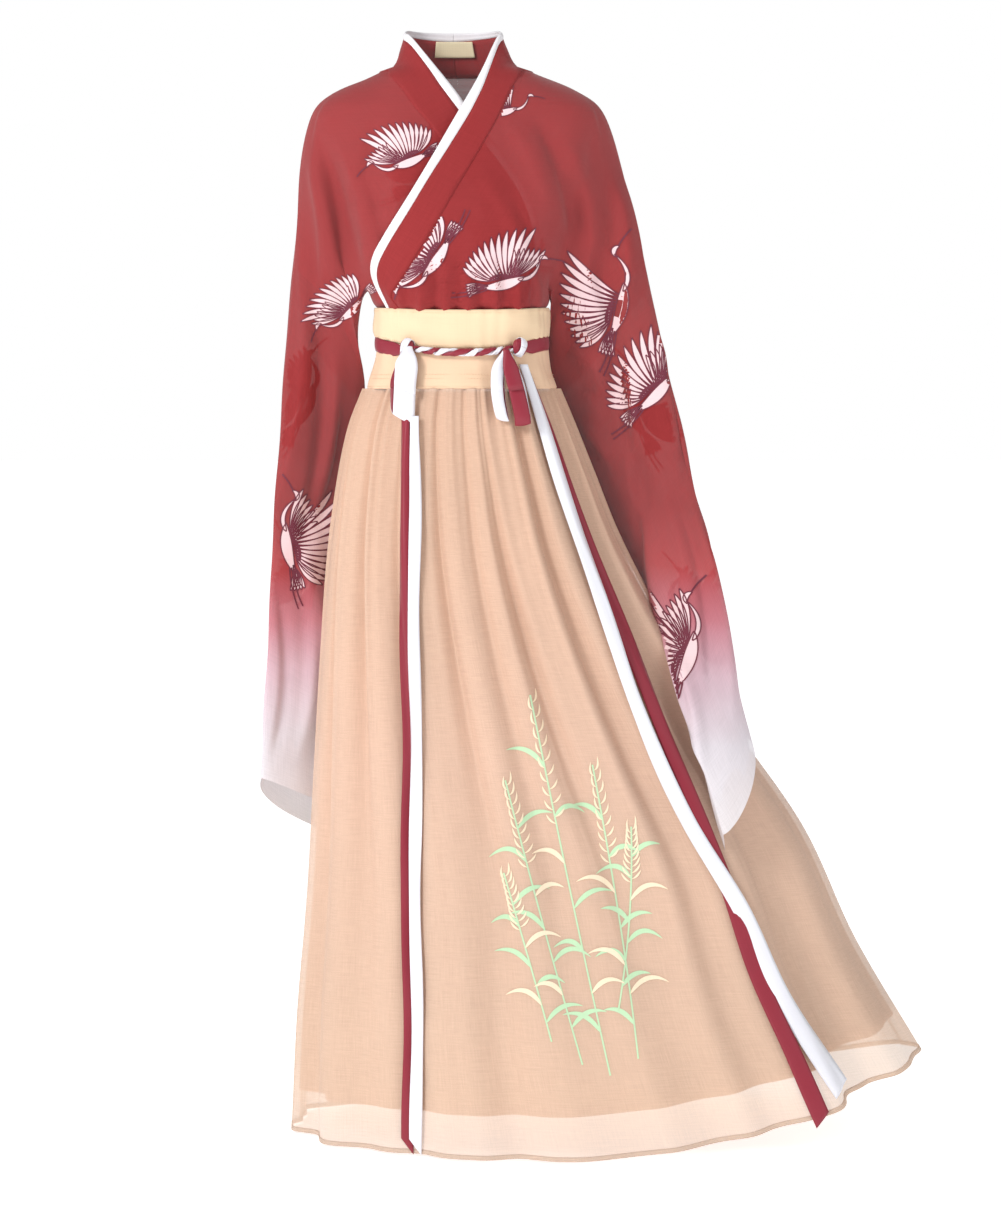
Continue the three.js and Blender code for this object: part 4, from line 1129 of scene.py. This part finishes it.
def front_of_skirt(x, height):
    """How far forward the skirt's cloth, or the band above it, stands at a place seen from the front."""
    hit = skirt_tree.ray_cast(Vector((x, -600, height)), Vector((0, 1, 0)))[0]
    return -hit[1] if hit is not None and height < SKIRT_TOP else float(front_depth(x, height))


def running_mean(values, reach):
    padded = np.pad(values, ((reach, reach), (0, 0)), mode="edge")
    return sum(padded[i : i + len(values)] for i in range(2 * reach + 1)) / (2 * reach + 1)


for name, (slot, start, end, lift, route) in tails.items():
    route_at = curve(route, "height", "across")
    share = np.linspace(-0.5, 0.5, 7)
    down = np.linspace(0, 1, TAIL_STEPS + 1)
    pointed = end + TAIL_POINT * (0.5 - np.abs(share - (0.5 if "left" in name else -0.5)))
    heights = start + (pointed[None, :] - start) * down[:, None]
    middle_heights = heights[:, 3]
    sway = 1.6 * np.sin(down * 17 + 2 * ("left" in name)) * smooth(down * 6)
    width = RIBBON_WIDTH * (0.72 + 0.28 * smooth(down * 12)) * (1 - 0.06 * np.sin(down * 31))
    x = route_at(middle_heights)[:, None] + sway[:, None] + share[None, :] * width[:, None]
    depth = np.array([[front_of_skirt(a, b) for a, b in zip(xs, zs)] for xs, zs in zip(x, heights)])
    padded = np.pad(depth, ((4, 4), (0, 0)), mode="edge")
    proud = np.max([padded[i : i + len(depth)] for i in range(9)], axis=0)
    proud = running_mean(np.maximum(proud, proud.max(1, keepdims=True) * 0.5 + proud * 0.5), 5)
    ripple = 0.9 * np.sin(down * 43 + 2 * ("left" in name))[:, None] + 0.8 * (1 - (2 * share) ** 2)[None, :]
    grid = np.stack([x, -(proud + lift + ripple), heights], -1)
    index = np.arange(grid.shape[0] * 7).reshape(-1, 7)
    quads = grid_faces(index[::-1])
    flat = np.stack(np.broadcast_arrays(share[None, :] * RIBBON_WIDTH, heights), -1)
    sewn(name + "_ribbon", slot, grid.reshape(-1, 3), quads, RIBBON, flat.reshape(-1, 2), [name])


# ---------------------------------------------------------------- the label
label_across = np.linspace(-1, 1, 25)
label_heights = np.linspace(45, 25, 9)
label_turns = -0.25 + 0.052 * np.abs(label_across)
label_side = np.where(label_across < 0, -1, 1)
sides = [torso_point(s, t, label_heights) for s, t in zip(label_side, label_turns)]
label_grid = np.stack(sides, 1)
inward = unit(label_grid * [1, 1, 0])
label_grid = label_grid - inward * 4.2
index = np.arange(label_grid.shape[0] * 25).reshape(-1, 25)
flat = label_grid[..., [0, 2]].reshape(-1, 2)
sewn("neck_label_cloth", "label_cloth", label_grid.reshape(-1, 3), grid_faces(index), 0.8, flat, ["neck_label"])


# ---------------------------------------------------------------- the printed cranes and embroidered reeds
EYE = np.array([54.0, -4200.0, -400.0])
FOLD_JUMP = 10
PRINTED = ("body", "sleeve")
jacket_points = np.concatenate([ground[0] for ground in jacket_grounds])
shift = len(jacket_grounds[0][0])
jacket_quads = np.concatenate([jacket_grounds[0][1], jacket_grounds[1][1] + shift])
jacket_printed = np.isin(np.concatenate([ground[2] for ground in jacket_grounds]), PRINTED)
jacket_tree = BVHTree.FromPolygons(jacket_points.tolist(), jacket_quads.tolist())


def bent(start, middle, end, steps):
    """A curve in the plane from start to end that leans toward middle."""
    t = np.linspace(0, 1, steps + 1)[:, None]
    start, middle, end = (np.asarray(p, float) for p in (start, middle, end))
    return (1 - t) ** 2 * start + 2 * t * (1 - t) * middle + t**2 * end


def blade(line, width, fullest=0.5, rows=3):
    """A leaf or feather: a band along a line, widest at a share of its length and pointed at its ends."""
    t = np.linspace(0, 1, len(line))
    bulge = np.sin(np.pi * t ** (math.log(0.5) / math.log(fullest))) ** 0.8 + 0.04
    run = np.gradient(line, axis=0)
    side = np.stack([-run[:, 1], run[:, 0]], -1) / (np.linalg.norm(run, axis=1, keepdims=True) + 1e-9)
    share = np.linspace(-0.5, 0.5, rows)
    return line[:, None] + side[:, None] * (share[None, :] * (bulge * width)[:, None])[..., None]


def stroke(line, width):
    """A line of even width."""
    run = np.gradient(line, axis=0)
    side = np.stack([-run[:, 1], run[:, 0]], -1) / (np.linalg.norm(run, axis=1, keepdims=True) + 1e-9)
    return line[:, None] + side[:, None] * (np.array([-0.5, 0.5]) * width)[None, :, None]


def crane_shapes(wing_low, wing_high, far_wing):
    """A flying crane, one unit long: feathers as bent spines with a width, then lines."""
    feathers = [
        ((-0.28, -0.03), (0, -0.08), (0.24, 0.02), 0.11, 0.55),
        ((0.16, 0.0), (0.36, -0.05), (0.45, 0.19), 0.042, 0.35),
        ((0.43, 0.17), (0.48, 0.24), (0.54, 0.17), 0.045, 0.5),
    ]
    for number in range(5):
        angle = math.radians(168 + 9 * number)
        tip = (-0.2 + 0.24 * math.cos(angle), -0.03 + 0.24 * math.sin(angle))
        feathers.append(((-0.18, -0.03), (-0.3, -0.01), tip, 0.05, 0.6))
    for number in range(12):
        share = number / 11
        angle = math.radians(wing_low + (wing_high - wing_low) * share)
        length = 0.62 - 0.26 * share
        root = np.array([0.12 - 0.26 * share, 0.02])
        tip = root + length * np.array([math.cos(angle), math.sin(angle)])
        lean = root + 0.5 * (tip - root) + 0.07 * np.array([-math.sin(angle), math.cos(angle)])
        feathers.append((root, lean, tip, 0.062, 0.6))
    for number in range(7 if far_wing else 0):
        angle = math.radians(34 + 5 * number)
        root = np.array([0.14 - 0.02 * number, 0.03])
        tip = root + (0.46 - 0.02 * number) * np.array([math.cos(angle), math.sin(angle)])
        feathers.append((root, 0.5 * (root + tip) + [0.05, -0.04], tip, 0.05, 0.6))
    lines = [
        ((0.53, 0.18), (0.62, 0.17), (0.72, 0.12), 0.016), ((-0.2, -0.07), (-0.4, -0.12), (-0.62, -0.1), 0.014),
        ((-0.2, -0.05), (-0.42, -0.08), (-0.6, -0.05), 0.014), ((0.05, 0.05), (-0.05, 0.1), (-0.16, 0.04), 0.03),
    ]
    return feathers, lines


def crane(x, height, size, lean, mirror, wing=(58, 146), far_wing=True):
    """The patches of one crane at a place: pale feathers, then plum lines round each of them."""
    lean = math.radians(lean)
    turn = np.array([[math.cos(lean), math.sin(lean)], [-math.sin(lean), math.cos(lean)]])

    def placed(patch):
        return [x, height] + (patch * [mirror, 1]) @ turn * size

    feathers, lines = crane_shapes(*wing, far_wing)
    pale, plum = [], []
    for start, middle, end, width, fullest in feathers:
        patch = blade(bent(start, middle, end, 16), width, fullest)
        pale.append(placed(patch))
        plum += [placed(stroke(patch[:, edge], 0.011)) for edge in (0, -1)]
    plum += [placed(stroke(bent(start, middle, end, 12), width)) for start, middle, end, width in lines]
    return pale, plum


def on_cloth(name, slot, patches, tree, lift, printed=None, behind=False):
    """Patches drawn in the plane of the front or the back, laid on the cloth that lies there."""
    eye = EYE * [1, -1 if behind else 1, 1]
    points, quads, flat, first = [], [], [], 0
    for patch in patches:
        found = np.full(patch.shape[:2], False)
        place = np.zeros(patch.shape[:2] + (3,))
        for spot in np.ndindex(*patch.shape[:2]):
            x, height = patch[spot]
            look = Vector((x, 0, height)) - Vector(eye)
            look.normalize()
            hit, _, face, _ = tree.ray_cast(Vector(eye), look)
            if hit is not None and (printed is None or printed[face]):
                found[spot] = True
                place[spot] = hit - look * lift
        index = first + np.arange(found.size).reshape(found.shape)
        cells = grid_faces(index)
        cell_depth = place[..., 1].ravel()[cells - first]
        whole = found.ravel()[cells - first].all(1) & (np.ptp(cell_depth, axis=1) < FOLD_JUMP)
        cells = cells[whole]
        if behind:
            cells = cells[:, ::-1]
        points.append(place.reshape(-1, 3))
        flat.append(patch.reshape(-1, 2))
        quads.append(cells)
        first += found.size
    points, quads, flat = (np.concatenate(parts) for parts in (points, quads, flat))
    used = np.unique(quads)
    number = np.full(len(points), -1)
    number[used] = np.arange(len(used))
    return piece(name, slot, points[used], number[quads], flat[used])


front_cranes = (
    crane(-62, -108, 96, 28, -1), crane(58, -46, 74, 6, 1, (75, 150), False),
    crane(-30, -232, 120, 62, -1, (40, 150)), crane(58, -262, 112, 8, 1),
    crane(-136, -296, 92, 50, -1, (40, 130)), crane(202, -296, 140, 70, 1, (70, 150), False),
    crane(250, -402, 128, 40, 1, (50, 150)), crane(290, -742, 150, 66, 1, (60, 170)),
    crane(-214, -600, 128, -74, -1, (60, 150)),
)
back_cranes = (
    crane(-40, -120, 120, 20, 1), crane(60, -220, 110, -14, -1), crane(-206, -420, 130, 60, 1),
    crane(232, -430, 130, -60, -1), crane(-196, -640, 120, 70, 1), crane(286, -700, 130, -66, -1),
)
for name, cranes, behind in (("front", front_cranes, False), ("back", back_cranes, True)):
    pale = [patch for one in cranes for patch in one[0]]
    plum = [patch for one in cranes for patch in one[1]]
    on_cloth(f"cranes_{name}_feathers", "print_white", pale, jacket_tree, 0.5, jacket_printed, behind)
    on_cloth(f"cranes_{name}_lines", "print_plum", plum, jacket_tree, 0.8, jacket_printed, behind)

# Each reed: foot, bend and tip of its stem, and which way its leaves lean first.
reeds = (
    ((196, -1284), (150, -1080), (92, -790), 1), ((160, -1270), (108, -1090), (60, -900), -1),
    ((232, -1262), (214, -1100), (172, -880), 1), ((120, -1240), (96, -1150), (58, -1020), -1),
    ((206, -1200), (226, -1080), (222, -960), -1),
)
green, cream = [], []
for foot, bend, tip, way in reeds:
    stem = bent(foot, bend, tip, 60)
    green.append(stroke(stem, 2.2))
    for number in range(7):
        at = stem[8 + number * 7]
        side = way * (1 if number % 2 else -1)
        reach = 58 + 9 * math.sin(number * 2.1 + foot[0])
        end = at + [side * reach * 0.75, reach * (0.35 - 0.12 * (number % 3))]
        leaf = blade(bent(at, at + [side * reach * 0.3, reach * 0.5], end, 18), 6.4, 0.4)
        (cream if number % 3 == 1 else green).append(leaf)
    for number in range(18):
        at = stem[42 + number]
        side = 1 if number % 2 else -1
        end = at + [side * (13 - 0.5 * number), 12 + 0.4 * number]
        cream.append(blade(bent(at, at + [side * 8, 2], end, 8), 2.6, 0.55))
on_cloth("reeds_green", "thread_green", green, skirt_tree, 0.6)
on_cloth("reeds_cream", "thread_cream", cream, skirt_tree, 0.9)
back_green = [patch * [-1, 1] + [150, 0] for patch in green]
back_cream = [patch * [-1, 1] + [150, 0] for patch in cream]
on_cloth("reeds_back_green", "thread_green", back_green, skirt_tree, 0.6, behind=True)
on_cloth("reeds_back_cream", "thread_cream", back_cream, skirt_tree, 0.9, behind=True)


# ---------------------------------------------------------------- camera, floor and light
CAMERA_PLACE = (0.054, -4.2, -0.40)
CAMERA_AIM = (0.054, 0, -0.686)
VIEW_HALF_HEIGHT = 0.786
camera = bpy.data.objects.new("camera", bpy.data.cameras.new("camera"))
scene.collection.objects.link(camera)
scene.camera = camera
camera.location = CAMERA_PLACE
aim = Vector(CAMERA_AIM) - camera.location
camera.rotation_euler = aim.to_track_quat("-Z", "Y").to_euler()
camera.data.sensor_fit = "VERTICAL"
camera.data.angle = 2 * math.atan(VIEW_HALF_HEIGHT / aim.length)


FLOOR_GAP = 0.004
FLOOR_RADIUS = 40
FLOOR_GLOW = 0.72


def studio_floor():
    """A pale floor so wide and even that its far side melts into the pale surround."""
    ground = cad_box[0][2] - FLOOR_GAP
    bpy.ops.mesh.primitive_circle_add(vertices=96, radius=FLOOR_RADIUS, fill_type="NGON", location=(0, 0, ground))
    floor = bpy.context.object
    floor.name = "studio_floor"
    material = bpy.data.materials.new("studio floor")
    material.use_nodes = True
    board = Board(material.node_tree)
    shader = material.node_tree.nodes["Principled BSDF"]
    place = board.add("TexCoord").outputs["Object"]
    speckle = board.add("TexNoise", {"Vector": place, "Scale": 40.0}).outputs["Fac"]
    tone = board.ramp(speckle, ((0, (0.89, 0.89, 0.89)), (1, (0.91, 0.91, 0.91))))
    material.node_tree.links.new(tone, shader.inputs["Base Color"])
    shader.inputs["Emission Color"].default_value = (1, 1, 1, 1)
    shader.inputs["Emission Strength"].default_value = FLOOR_GLOW
    shader.inputs["Roughness"].default_value = 0.9
    floor.data.materials.append(material)


studio_floor()
WORLD_ON_CLOTH = 0.45
world = bpy.data.worlds.new("studio")
scene.world = world
world.use_nodes = True
board = Board(world.node_tree)
seen = board.add("LightPath").outputs["Is Camera Ray"]
strength = board.add("MapRange", {"Value": seen, "To Min": WORLD_ON_CLOTH, "To Max": 1.0}).outputs[0]
world.node_tree.nodes["Background"].inputs["Color"].default_value = (1, 1, 1, 1)
world.node_tree.links.new(strength, world.node_tree.nodes["Background"].inputs["Strength"])
scene.view_settings.view_transform = "Standard"
LIT_POINT = (0, 0, -0.6)
for name, place, size, power in (("key", (-2.6, -2.8, 1.7), 1.1, 125), ("fill", (2.8, -2.4, 0.6), 2.4, 20)):
    light = bpy.data.objects.new(name, bpy.data.lights.new(name, "AREA"))
    scene.collection.objects.link(light)
    light.location = place
    light.rotation_euler = (Vector(LIT_POINT) - light.location).to_track_quat("-Z", "Y").to_euler()
    light.data.size = size
    light.data.energy = power
